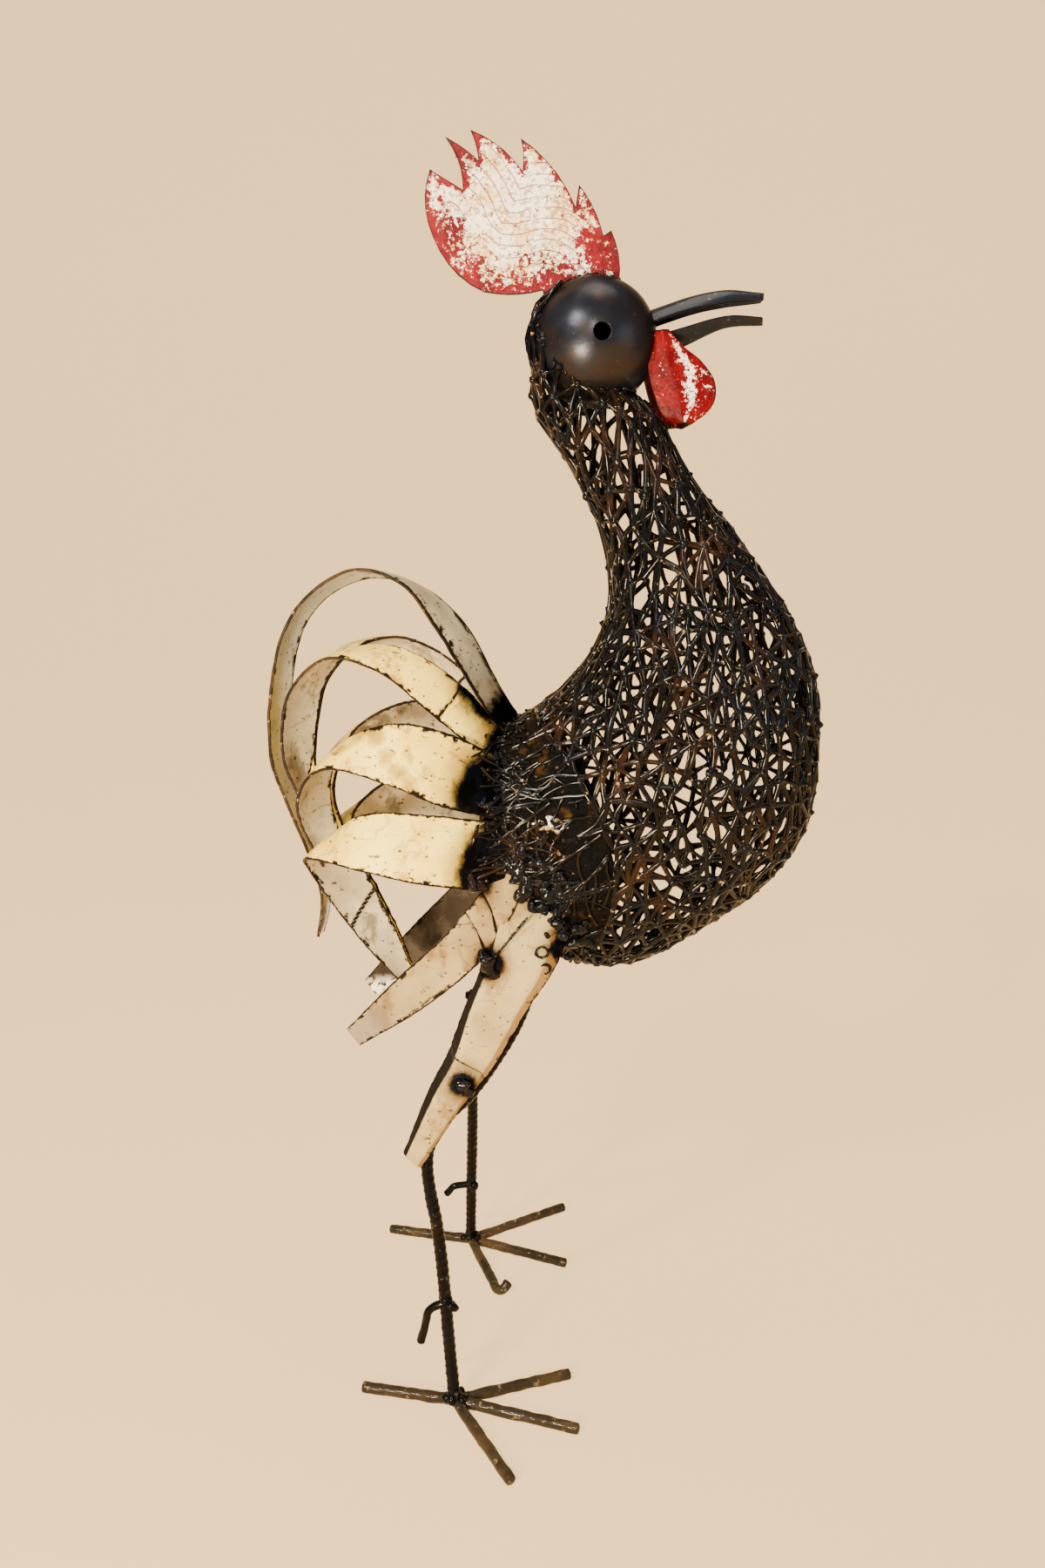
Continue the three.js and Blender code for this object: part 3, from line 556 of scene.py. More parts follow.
floorMesh.materials.append(materials["floorPaper"])
bpy.context.scene.collection.objects.link(floorPiece)


# Shapes shared by the pieces

def splinePoint(points, share):
    last = len(points) - 1
    spot = min(max(share, 0.0), 1.0) * last
    k = min(int(spot), last - 1)
    t = spot - k
    b, c = points[k], points[k + 1]
    a = points[k - 1] if k > 0 else 2 * b - c
    d = points[k + 2] if k + 2 <= last else 2 * c - b
    ab, bc, cd = (max((q - p).length, 1e-6) ** 0.5 for p, q in ((a, b), (b, c), (c, d)))
    start = ((b - a) / ab - (c - a) / (ab + bc) + (c - b) / bc) * bc
    end = ((c - b) / bc - (d - b) / (bc + cd) + (d - c) / cd) * bc
    return b + start * t + (3 * (c - b) - 2 * start - end) * t**2 + (2 * (b - c) + start + end) * t**3


def finishPiece(name, mesh, finishes, replaced=()):
    piece = bpy.data.objects.new(name, mesh)
    for finish in finishes:
        mesh.materials.append(materials[finish])
    mesh.shade_smooth()
    bpy.context.scene.collection.objects.link(piece)
    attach(piece, "root")
    if replaced:
        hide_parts(*replaced)
    return piece


def addPiece(name, bm, finishes, slot, *replaced):
    mesh = bpy.data.meshes.new(name)
    bm.to_mesh(mesh)
    bm.free()
    return finishPiece(name, mesh, finishes, replaced)


# Grid that is laid on a surface given as a function of two shares, 0 to 1
def layGrid(surface, columns, rows, length=0.2, flipped=False, **marks):
    bm = bmesh.new()
    uvLayer = bm.loops.layers.uv.new("UVMap")
    layers = {label: bm.verts.layers.float.new(label) for label in marks}
    bmesh.ops.create_grid(bm, x_segments=columns, y_segments=rows, size=0.5, calc_uvs=True)
    for loop in (loop for face in bm.faces for loop in face.loops):
        loop[uvLayer].uv = (loop.vert.co.x + 0.5, (loop.vert.co.y + 0.5) * length)
    for vert in bm.verts:
        u, v = vert.co.x + 0.5, vert.co.y + 0.5
        for label, layer in layers.items():
            vert[layer] = marks[label](u, v)
        vert.co = surface(u, v)
    if flipped:
        bmesh.ops.reverse_faces(bm, faces=bm.faces)
    return bm


def deleteFaces(bm, faces):
    bmesh.ops.delete(bm, geom=faces, context="FACES")
    bmesh.ops.delete(bm, geom=[v for v in bm.verts if not v.link_faces], context="VERTS")


edgeBevel = 0.0004


# Gives a sheet its wall, with its own finishes inside and on its cut edges, and softens those edges
def thicken(piece, wall, bevel=edgeBevel, offset=0.0, inside=0, rim=0):
    shell = piece.modifiers.new("wall", "SOLIDIFY")
    shell.thickness = wall
    shell.offset = offset
    shell.use_even_offset = False
    shell.material_offset = inside
    shell.material_offset_rim = rim
    if bevel:
        edge = piece.modifiers.new("edge", "BEVEL")
        edge.width = bevel
        edge.segments = 2
        edge.limit_method = "ANGLE"
        edge.angle_limit = math.radians(50)
        edge.harden_normals = True
    return piece


# Body: the oval sections that the web and the rump follow

body = {
    "sections": [  # rear x and z, front x and z, half width
        (50, 686, 142, 671, 34), (82, 637, 164, 634, 38), (104, 585, 201, 590, 46), (102, 543, 240, 530, 60),
        (80, 503, 259, 459, 69), (50, 480, 243, 386, 70), (31, 472, 190, 331, 64), (18, 464, 108, 294, 58),
        (10, 450, 41, 321, 53)],
    "fullness": 2.3,
    "rumpRear": 4.9,
    "rumpFront": 7.35,
    "napeRows": 2,
    "rows": 10,
    "rumpRows": 4,
    "frontHeld": 0.182,
    "frontPull": 0.42,
    "rumpLift": 0.002,
    "napeHeight": 34,
    "collarDepth": -52,
}
rearLine = [place(s[0], 0, s[1]) for s in body["sections"]]
frontLine = [place(s[2], 0, s[3]) for s in body["sections"]]
halfLine = [Vector((k, s[4], 0)) for k, s in enumerate(body["sections"])]
lastSection = len(body["sections"]) - 1
ballRadius = 0.041
collarRadius = ballRadius + 0.0015


def full(value):
    return math.copysign(abs(value) ** (2 / body["fullness"]), value)


def bodySpot(angle, along, grow=0.0):
    rear = splinePoint(rearLine, along / lastSection)
    front = splinePoint(frontLine, along / lastSection)
    half = splinePoint(halfLine, along / lastSection).y / 1000
    reach = front - rear
    spot = (front + rear) / 2 + reach.normalized() * full(math.cos(angle)) * (reach.length / 2 + grow)
    spot.y += full(math.sin(angle)) * (half + grow)
    return spot


def rumpStart(angle):
    return body["rumpRear"] + (body["rumpFront"] - body["rumpRear"]) * (1 + math.cos(angle)) / 2


def collarSpot(angle):
    nape = max(0.0, -math.cos(angle)) ** 3
    lift = math.radians(body["collarDepth"] + (body["napeHeight"] - body["collarDepth"]) * nape)
    outward = Vector((math.cos(lift) * math.cos(angle), math.cos(lift) * math.sin(angle), math.sin(lift)))
    return ballCentre + outward * collarRadius


def webSpot(angle, row, grow=0.0):
    if row > body["rows"]:
        return rumpSpot(angle, (row - body["rows"]) / body["rumpRows"],
                        grow + rump["sink"] + body["rumpLift"])
    if row >= body["napeRows"]:
        share = (row - body["napeRows"]) / (body["rows"] - body["napeRows"])
        spot = bodySpot(angle, share * rumpStart(angle), grow)
        spot.x -= max(0.0, spot.x - body["frontHeld"]) * body["frontPull"]
        return spot
    spot = collarSpot(angle).lerp(bodySpot(angle, 0, grow), row / body["napeRows"])
    away = spot - ballCentre
    away.length = max(away.length, collarRadius)
    return ballCentre + away


def webNormal(angle, row):
    if row < body["napeRows"]:
        return (webSpot(angle, row) - ballCentre).normalized()
    return (webSpot(angle, row, 0.001) - webSpot(angle, row)).normalized()


# Rump: a lumpy sheet cup that closes the body behind

rump = {
    "wall": 0.002, "columns": 128, "rows": 72, "lumpSize": 62, "lumpHeight": 0.0021, "deepest": -0.4,
    "sink": -0.0012, "seat": 0.0004, "closing": 0.45, "near": 0.06}


def rumpSpot(angle, share, grow=0.0):
    along = rumpStart(angle) + min(share, 1.0) * (lastSection - rumpStart(angle))
    spot = bodySpot(angle, along, grow)
    if share > 1.0:
        middle = (bodySpot(0, lastSection) + bodySpot(math.pi, lastSection)) / 2
        spot = spot.lerp(middle, min((share - 1.0) / rump["closing"], 1.0))
    return spot


def rumpSurface(u, v):
    angle, share = u * 2 * math.pi, v * (1 + rump["closing"])
    spot = rumpSpot(angle, share, rump["sink"])
    inward = ((bodySpot(0, lastSection) + bodySpot(math.pi, lastSection)) / 2 - spot).normalized()
    lump = noise.noise(spot * rump["lumpSize"]) + 0.5 * noise.noise(spot * rump["lumpSize"] * 2.6)
    depth = rump["seat"] + rump["lumpHeight"] * max(lump, rump["deepest"])
    return spot + inward * depth * (1.0 if share < 1.0 else 0.4)


bm = layGrid(rumpSurface, rump["columns"], rump["rows"], 0.1)
bmesh.ops.remove_doubles(bm, verts=bm.verts, dist=0.00005)
bmesh.ops.recalc_face_normals(bm, faces=bm.faces)
rumpTree = BVHTree.FromBMesh(bm)
rumpPiece = addPiece("rump_sheet", bm, ["rumpSteel"], "rump_sheet", "rump_cup")
thicken(rumpPiece, rump["wall"], 0, -1.0)
print("rump made")


# Where a line from one side of the figure first meets a surface, with x and z in millimetres
def seenFrom(side, tree, x, z):
    return tree.ray_cast(place(x, side * 200, z), Vector((0, -side, 0)))[0]


def insideRump(spot):
    near, normal, _, _ = rumpTree.find_nearest(spot)
    return (spot - near).dot(normal) < 0 and (spot - near).length < rump["near"]


# Wires and welds, gathered as they are made

def newWires(name, radius):
    data = bpy.data.curves.new(name, "CURVE")
    data.dimensions = "3D"
    data.bevel_depth = radius
    data.bevel_resolution = 1
    data.use_fill_caps = True
    return data


def addWire(data, points, widths, finish=0):
    spline = data.splines.new("POLY")
    spline.material_index = finish
    spline.points.add(len(points) - 1)
    for point, spot, width in zip(spline.points, points, widths):
        point.co = (*spot, 1)
        point.radius = width
    spline.use_smooth = True


# Most wires are black; the middle of each side has brown patina wires and pale gold ones, placed and
# brightened there as painted sunlight and glints
wireFinishes = ["wireSteel", "wireBrown", "wireGlintGold"]
warmth = {
    "least": 0.05,
    "glintGoldShare": 0.3,
    "places": [  # centre, reach and share
        ((122, 66, 430), 54, 0.85), ((112, 62, 540), 22, 0.5), ((102, 52, 610), 14, 0.5),
        ((75, 62, 470), 20, 0.45)]}


def wireFinish(spot):
    own = (spot - figureStart) * 1000
    own.y = abs(own.y)
    warm = sum(share * math.exp(-(((own - Vector(centre)).length / reach) ** 2))
               for centre, reach, share in warmth["places"])
    if dice.random() > warmth["least"] + warm:
        return 0
    return 2 if dice.random() < warmth["glintGoldShare"] else 1


def wiresPiece(data, finishes, replaced=()):
    for finish in finishes:
        data.materials.append(materials[finish])
    holder = bpy.data.objects.new(data.name, data)
    bpy.context.scene.collection.objects.link(holder)
    mesh = bpy.data.meshes.new_from_object(holder.evaluated_get(bpy.context.evaluated_depsgraph_get()))
    name = mesh.name = data.name
    bpy.data.objects.remove(holder)
    bpy.data.curves.remove(data)
    return finishPiece(name, mesh, [], replaced)


blob = {"sizes": (0.85, 1.2), "rough": 0.3, "roughScale": 420, "voxel": 0.0008, "soften": 0.5,
        "softenings": 3}


# One lump of weld metal, squashed and turned at random
def addBlob(bm, spot, size, finer=False, squash=0.75):
    made = bmesh.ops.create_icosphere(bm, subdivisions=2 if finer else 1, radius=1.0)
    angle = dice.uniform(0, 6.28)
    turn = Matrix.Rotation(angle, 4, Vector((dice.uniform(-1, 1), dice.uniform(-1, 1), 1)).normalized())
    wide, deep = (size * dice.uniform(*blob["sizes"]) for _ in range(2))
    shape = Matrix.Diagonal((wide, deep, size * squash, 1))
    bmesh.ops.transform(bm, matrix=Matrix.Translation(spot) @ turn @ shape, verts=made["verts"])
    if finer:
        for vert in made["verts"]:
            away = vert.co - spot
            vert.co = spot + away * (1 + blob["rough"] * noise.noise(vert.co * blob["roughScale"]))


# Melts the lumps of one piece into each other
def fuseBlobs(piece):
    fuse = piece.modifiers.new("fuse", "REMESH")
    fuse.mode, fuse.voxel_size, fuse.use_smooth_shade = "VOXEL", blob["voxel"], True
    soften = piece.modifiers.new("soften", "SMOOTH")
    soften.factor, soften.iterations = blob["soften"], blob["softenings"]


# Web: nodes scattered over the body, joined to their neighbours by short bowed wires

web = {
    "spacing": 0.0103,
    "bodyStretch": 0.74,
    "rumpSpacing": 0.024,
    "rumpDropped": 0.6,
    "neckSpacing": 0.0108,
    "neckFrom": 0.56,
    "neckStretch": 0.56,
    "neckRows": 3.4,
    "collarRow": 0.05,
    "collar": (22, 0.008),  # nodes in the row and their spacing
    "rim": (34, 0.009),
    "cell": 0.02,
    "reach": 0.032,
    "tries": 42000,
    "wire": 0.00195,
    "depth": 0.0022,
    "bow": 0.0016,
    "dropped": 0.07,
    "lensShare": 0.9,
    "weldedShare": 0.4,
}


# Heights are pressed together, most of all up the neck, so that the cells come out long
def pressed(spot):
    low, high = min(spot.z, web["neckFrom"]), max(0.0, spot.z - web["neckFrom"])
    return Vector((spot.x, spot.y, low * web["bodyStretch"] + high * web["neckStretch"]))


WebNode = namedtuple("WebNode", "spot flat normal angle row")
webNodes = []
cells = {}


def tryNode(angle, row, spacing):
    spot = webSpot(angle, row)
    flat = pressed(spot)
    key = tuple(int(math.floor(v / web["cell"])) for v in flat)
    for offset in product((-1, 0, 1), repeat=3):
        for other in cells.get(tuple(a + b for a, b in zip(key, offset)), ()):
            if (other - flat).length < spacing:
                return
    cells.setdefault(key, []).append(flat)
    normal = webNormal(angle, row)
    sunk = web["wire"] + (0.0 if row < web["collarRow"] else dice.uniform(0, web["depth"]))
    webNodes.append(WebNode(spot - normal * sunk, flat, normal, angle, row))


for (count, spacing), row in ((web["collar"], 0.0), (web["rim"], body["rows"])):
    for k in range(count):
        tryNode(k * 2 * math.pi / count, row, spacing)
for _ in range(web["tries"]):
    angle, row = dice.uniform(0, 2 * math.pi), dice.uniform(0.1, body["rows"] + body["rumpRows"] * 1.2)
    label = "neckSpacing" if row < web["neckRows"] else "spacing" if row < body["rows"] else "rumpSpacing"
    tryNode(angle, row, web[label] * dice.uniform(0.8, 1.05))

tree = kdtree.KDTree(len(webNodes))
for k, node in enumerate(webNodes):
    tree.insert(node.flat, k)
tree.balance()

webEdges = []
for i, node in enumerate(webNodes):
    for _, j, distance in tree.find_range(node.flat, web["reach"]):
        if j <= i:
            continue
        middle = (node.flat + webNodes[j].flat) / 2
        blocked = any(k not in (i, j)
                      for _, k, _ in tree.find_range(middle, distance / 2 * web["lensShare"]))
        dropped = web["rumpDropped" if min(node.row, webNodes[j].row) > body["rows"] + 0.01 else "dropped"]
        if not blocked and (dice.random() > dropped or node.row < web["collarRow"]):
            webEdges.append((i, j))
print("web has", len(webNodes), "nodes and", len(webEdges), "wires")

nearWires, farWires = newWires("web_right", web["wire"]), newWires("web_left", web["wire"])
for i, j in webEdges:
    first, second = webNodes[i].spot, webNodes[j].spot
    normal = (webNodes[i].normal + webNodes[j].normal).normalized()
    sideways = (second - first).cross(normal).normalized() * dice.uniform(-web["bow"], web["bow"])
    lift = normal * dice.uniform(-0.3, 0.6) * web["wire"]
    middle = (first + second) / 2 + sideways + lift
    thin = dice.uniform(0.72, 1.1)
    path = [first, first.lerp(middle, 0.6) + sideways * 0.2, second.lerp(middle, 0.6) + sideways * 0.2,
            second]
    data = nearWires if middle.y < figureStart.y else farWires
    addWire(data, path, [1.3, thin, thin, 1.3], wireFinish(middle))
wiresPiece(nearWires, wireFinishes, ["body_cage"])
wiresPiece(farWires, wireFinishes, ["body_cage"])

webWelds = bmesh.new()
for node in webNodes:
    if dice.random() < web["weldedShare"] or node.row < web["collarRow"]:
        addBlob(webWelds, node.spot, web["wire"] * dice.uniform(1.5, 2.1), True)
    else:
        addBlob(webWelds, node.spot, web["wire"] * 1.42)
print("web made")

# Long wires laid over the web, mostly along the body, and slantwise down the neck

longWires = {
    "body": 320, "neck": 120, "rump": 96, "wire": 0.0016, "lift": 0.0005, "neckRows": 3.6,
    "straightness": 0.35, "down": (0.55, 0, -0.85), "slant": (-0.25, 0, -0.95), "downShare": 0.75,
    "sideways": 0.7, "widths": (0.8, 1.15), "steps": (4, 7), "brownOnRump": 0.36, "forkShare": 0.2,
    "fork": 0.7, "wander": 0.22, "stride": 3.4}

neighbours = {}
for i, j in webEdges:
    neighbours.setdefault(i, []).append(j)
    neighbours.setdefault(j, []).append(i)


def walkWeb(start, heading, steps):
    route = [start]
    while len(route) < steps:
        here = webNodes[route[-1]].spot
        options = [((webNodes[j].spot - here).normalized().dot(heading), j)
                   for j in neighbours.get(route[-1], ())
                   if j not in route]
        if not options or max(options)[0] < longWires["straightness"]:
            break
        route.append(max(options)[1])
        heading = (heading * 2 + (webNodes[route[-1]].spot - here).normalized()).normalized()
    return route


def evened(path):
    return [(path[max(i - 1, 0)] + spot * 2 + path[min(i + 1, len(path) - 1)]) / 4
            for i, spot in enumerate(path)]


def layRoute(route):
    spots = evened([webNodes[k].spot + webNodes[k].normal * longWires["lift"] for k in route])
    count = (len(spots) - 1) * 3
    width = dice.uniform(*longWires["widths"])
    path = [splinePoint(spots, i / count) for i in range(count + 1)]
    addWire(overlay, path, [width * (0.75 if i in (0, count) else 1.0) for i in range(count + 1)],
            wireFinish(path[count // 2]))


# Lays wires from nodes picked at random, each heading the way it is told from its node
def layWires(count, starts, headingFrom):
    laid = 0
    while laid < count:
        k = dice.choice(starts)
        route = walkWeb(k, headingFrom(webNodes[k]), dice.randint(*longWires["steps"]))
        if len(route) > 2:
            layRoute(route)
            laid += 1


def downNeck(node):
    return Vector(longWires["down" if dice.random() < longWires["downShare"] else "slant"])


def alongBody(node):
    along = (webSpot(node.angle, min(node.row + 0.3, 10))
             - webSpot(node.angle, max(node.row - 0.3, 2))).normalized()
    sideways = dice.uniform(-longWires["sideways"], longWires["sideways"])
    return (along + along.cross(node.normal).normalized() * sideways).normalized()


overlay = newWires("long_wires", longWires["wire"])
neckNodes = [k for k, node in enumerate(webNodes) if node.row < longWires["neckRows"]]
bodyNodes = [k for k, node in enumerate(webNodes) if longWires["neckRows"] <= node.row < body["rows"]]
layWires(longWires["neck"], neckNodes, downNeck)
layWires(longWires["body"], bodyNodes, alongBody)

# Nape: wires that run down the back of the ball from the comb's root
nape = {
    "sides": (-0.015, -0.008, 0.001, 0.010), "points": 12, "from": 58, "turn": 100, "lift": 0.0022,
    "sway": 0.0012}
for side in nape["sides"]:
    path = []
    for k in range(nape["points"]):
        lift = math.radians(nape["from"] - nape["turn"] * k / (nape["points"] - 1))
        reach = ballRadius + nape["lift"] + nape["sway"] * math.sin(k * 1.3 + side * 300)
        flat = math.sqrt(reach**2 - side**2)
        path.append(ballCentre + Vector((-flat * math.cos(lift), side + nape["sway"] * math.sin(k),
                                         flat * math.sin(lift))))
    addWire(overlay, path, [1.0 + 0.25 * math.sin(k * 2.1) for k in range(nape["points"])])


# Rump wires: strands laid on the sheet as seen from the side, back and down to the tail, with forks
def rumpWire(side, x, z, heading, steps, width, forks):
    path = []
    for k in range(steps):
        found = seenFrom(side, rumpTree, x, z)
        if found:
            path.append(found + (found - place(50, 0, 380)).normalized() * 0.0007)
        elif path:
            break
        heading += dice.uniform(-longWires["wander"], longWires["wander"])
        x += longWires["stride"] * math.cos(heading)
        z += longWires["stride"] * math.sin(heading)
        if forks and path and k > 2 and dice.random() < longWires["forkShare"]:
            forked = heading + dice.choice((-longWires["fork"], longWires["fork"]))
            rumpWire(side, x, z, forked, dice.randint(5, 12), width * 0.85, False)
    if len(path) > 3:
        widths = [width * dice.uniform(0.85, 1.1) for _ in path]
        addWire(overlay, path, widths, 1 if dice.random() < longWires["brownOnRump"] else 0)


for k in range(longWires["rump"]):
    x, z = dice.uniform(30, 122), dice.uniform(318, 470)
    slope = 3.5 + 0.55 * (470 - z) / 150
    rumpWire(dice.choice((-1, 1)), x, z, slope + dice.uniform(-0.35, 0.35), dice.randint(9, 24),
             dice.uniform(0.6, 1.0), True)
wiresPiece(overlay, wireFinishes, ["body_cage"])

# Weld metal on the rump: x, z and size of the big lumps on each side, and small ones anywhere
rumpWelds = {
    "small": 240,
    "collar": 40,
    "combRoot": 26,
    "blobsEach": 9,
    "big": [(16, 372, 6.4), (22, 380, 5.2), (29, 391, 5.4), (38, 386, 6.4), (46, 378, 7.2), (52, 368, 8.2),
            (58, 358, 7.4), (64, 349, 7.2), (70, 340, 7.0), (76, 333, 6.4), (82, 327, 5.4), (58, 384, 6.2),
            (49, 395, 5.6), (67, 366, 6.2), (75, 351, 5.6), (41, 402, 4.6), (70, 380, 5.0), (86, 339, 4.6),
            (30, 404, 4.2), (22, 414, 3.6), (36, 416, 3.6), (92, 326, 4.2), (60, 402, 4.0), (18, 395, 4.4)]}
fusedWelds = bmesh.new()
for k in range(rumpWelds["small"]):
    angle, share = dice.uniform(0, 2 * math.pi), dice.uniform(0, 0.98)
    addBlob(webWelds, rumpSpot(angle, share, -0.001), dice.uniform(0.0012, 0.003), True, 0.5)
for side in (-1, 1):
    for x, z, size in rumpWelds["big"]:
        found = seenFrom(side, rumpTree, x, z)
        if found:
            for _ in range(rumpWelds["blobsEach"]):
                away = Vector((dice.uniform(-1, 1), side * dice.uniform(0, 0.3), dice.uniform(-1, 1)))
                addBlob(fusedWelds, found + away * size / 1050, size / 1000 * dice.uniform(0.3, 0.75), True,
                        0.7)
fuseBlobs(addPiece("rump_lumps", fusedWelds, ["weldSteel"], "rump_sheet"))

# Weld metal round the collar and along the comb's root
for k in range(rumpWelds["collar"]):
    angle = k * 2 * math.pi / rumpWelds["collar"] + dice.uniform(-0.05, 0.05)
    spot = ballCentre + (collarSpot(angle) - ballCentre) * dice.uniform(0.975, 1.0)
    addBlob(webWelds, spot + Vector((0, 0, dice.uniform(-0.001, 0.003))), dice.uniform(0.0014, 0.0034), True,
            0.7)
for side in (-1, 1):
    for k in range(rumpWelds["combRoot"]):
        turn = math.radians(142 - 74 * k / (rumpWelds["combRoot"] - 1))
        reach = ballRadius + 0.0003
        spot = ballCentre + Vector((reach * math.cos(turn), side * 0.0022, reach * math.sin(turn)))
        addBlob(webWelds, spot, dice.uniform(0.0008, 0.0017), True, 0.8)
addPiece("web_welds", webWelds, ["weldSteel"], "body_wire", "body_cage")

# Pale gold blobs beside the wires: a painted glint of the lamp on the rump
glintPatch = {"count": 26, "x": (65, 6), "z": (414, 4.4)}
glintBlobs = bmesh.new()
for side in (-1, 1):
    for _ in range(glintPatch["count"]):
        x, z = (middle + dice.gauss(0, far) for middle, far in (glintPatch["x"], glintPatch["z"]))
        found = seenFrom(side, rumpTree, x, z)
        if found:
            addBlob(glintBlobs, found, dice.uniform(0.0012, 0.0028), True, 0.5)
fuseBlobs(addPiece("rump_glint_patch", glintBlobs, ["rumpGlint"], "rump_sheet"))
print("long wires laid")

# Head ball, hollow, with an eye hole through each side

head = {"radius": 41, "wall": 0.0025, "eye": 5.5, "eyeForward": 3, "eyeUp": 0.5, "sides": 128, "rings": 72}

bm = bmesh.new()
bmesh.ops.create_uvsphere(bm, u_segments=head["sides"], v_segments=head["rings"], radius=1.0)
bmesh.ops.rotate(bm, verts=bm.verts, cent=(0, 0, 0), matrix=Matrix.Rotation(math.radians(90), 3, "X"))
eyeSpread = math.asin(head["eye"] / head["radius"])
step = math.pi / head["rings"]
eyeRing = round(eyeSpread / step)
for vert in bm.verts:
    polar = math.acos(max(-1.0, min(1.0, abs(vert.co.y))))
    side = math.copysign(1, vert.co.y)
    turn = math.atan2(vert.co.z, vert.co.x)
    share = polar / (math.pi / 2)
    ring = polar / step
    if ring <= eyeRing:
        polar = ring / eyeRing * eyeSpread
    else:
        polar = eyeSpread + (ring - eyeRing) / (head["rings"] / 2 - eyeRing) * (math.pi / 2 - eyeSpread)
    flat = Vector((math.sin(polar) * math.cos(turn), side * math.cos(polar),
                   math.sin(polar) * math.sin(turn)))
    shift = (1 - min(share, 1.0)) ** 1.2
    flat += Vector((head["eyeForward"], 0, head["eyeUp"])) / head["radius"] * shift
    flat.normalize()
    dent = 1 - 0.004 * max(0.0, noise.noise(flat * 3.1)) - 0.0015 * abs(noise.noise(flat * 11))
    vert.co = ballCentre + flat * head["radius"] / 1000 * dent


def inEye(face):
    middle = (face.calc_center_median() - ballCentre) * 1000
    return math.hypot(middle.x - head["eyeForward"], middle.z - head["eyeUp"]) < head["eye"] * 0.99


deleteFaces(bm, [face for face in bm.faces if inEye(face)])
bmesh.ops.recalc_face_normals(bm, faces=bm.faces)
ballPiece = addPiece("ball", bm, ["ballSteel"], "ball_steel", "head_ball")
thicken(ballPiece, head["wall"], 0.0005, -1.0)
print("head ball made")

# Comb: flat sheet, cut out of a fine grid along its outline

comb = {
    "thickness": 0.003,
    "cell": 0.0017,
    "relief": 0.00035,
    "backEdge": (1, 11),
    "wornFrom": 0.03,
    "redRim": 0.0042,
    "redPlaces": [  # x, z, reach and how much red is kept there
        (-5, 62, 10, 0.75), (3, 52, 8, 0.5), (8, 60, 7, 0.5), (-20, 34, 12, 0.48), (0, 38, 13, 0.5),
        (-90, 112, 9, 0.7), (-84, 96, 5, 0.5), (-92, 66, 10, 0.35), (-98, 96, 8, 0.3), (-25, 88, 6, 0.3),
        (10, 48, 8, 0.5), (-76, 120, 6, 0.4), (-8, 78, 5, 0.5)],
    "edge": [  # x, z, bow from the ball's centre
        (-30, 20, 0), (-34, 32, 0), (-72, 31, 2), (-105, 65, 5), (-106, 104, 4), (-85, 92, 0),
        (-96, 123, -3), (-75, 109, 1), (-80, 126.9, -1), (-47, 103, 3), (-48, 122, -1), (-13, 82, 4),
        (-11, 95, 0), (5, 65, 2), (10, 68, 0), (16, 39, 2), (12, 20, 0)],
}
outline = []
for (x0, z0, _), (x1, z1, bow) in zip(comb["edge"], comb["edge"][1:]):
    start, end = Vector((x0, z0)), Vector((x1, z1))
    outward = Vector((-(end - start).y, (end - start).x)).normalized()
    pull = (start + end) / 2 + outward * 2 * bow
    steps = 1 if bow == 0 else 5
    for k in range(steps):
        t = k / steps
        outline.append(start * (1 - t) ** 2 + pull * 2 * t * (1 - t) + end * t**2)
outline.append(Vector(comb["edge"][-1][:2]))
outline = [Vector((p.x / 1000, p.y / 1000)) for p in outline]


def insideOutline(x, z):
    hit = False
    for a, b in zip(outline, outline[1:] + outline[:1]):
        if (a.y > z) != (b.y > z) and x < (b.x - a.x) * (z - a.y) / (b.y - a.y) + a.x:
            hit = not hit
    return hit


def toOutline(x, z, first=0, last=None):
    spot, best = Vector((x, z)), 1.0
    for a, b in list(zip(outline, outline[1:]))[first:last]:
        t = max(0.0, min(1.0, (spot - a).dot(b - a) / max((b - a).length_squared, 1e-12)))
        best = min(best, (spot - a.lerp(b, t)).length)
    return best


lowCorner = Vector((min(p.x for p in outline), min(p.y for p in outline)))
highCorner = Vector((max(p.x for p in outline), max(p.y for p in outline)))
bm = bmesh.new()
size = highCorner - lowCorner
bmesh.ops.create_grid(bm, x_segments=int(size.x / comb["cell"]), y_segments=int(size.y / comb["cell"]),
                      size=0.5)
for vert in bm.verts:
    vert.co = Vector((lowCorner.x + (vert.co.x + 0.5) * size.x, 0, lowCorner.y + (vert.co.y + 0.5) * size.y))
for a, b in zip(outline, outline[1:] + outline[:1]):
    across = Vector((-(b - a).y, 0, (b - a).x)).normalized()
    along = Vector(((b - a).x, 0, (b - a).y)).normalized()
    middle = Vector(((a.x + b.x) / 2, 0, (a.y + b.y) / 2))
    reach = (b - a).length / 2 + comb["cell"] * 1.5
    near = [f for f in bm.faces if abs((f.calc_center_median() - middle).dot(along)) < reach
            and abs((f.calc_center_median() - middle).dot(across)) < comb["cell"] * 2.5]
    geometry = list({v for f in near for v in f.verts}) + list({e for f in near for e in f.edges}) + near
    bmesh.ops.bisect_plane(bm, geom=geometry, dist=1e-7, plane_co=middle, plane_no=across)
deleteFaces(bm, [f for f in bm.faces
                 if not insideOutline(f.calc_center_median().x, f.calc_center_median().z)])
bmesh.ops.remove_doubles(bm, verts=bm.verts, dist=0.00004)
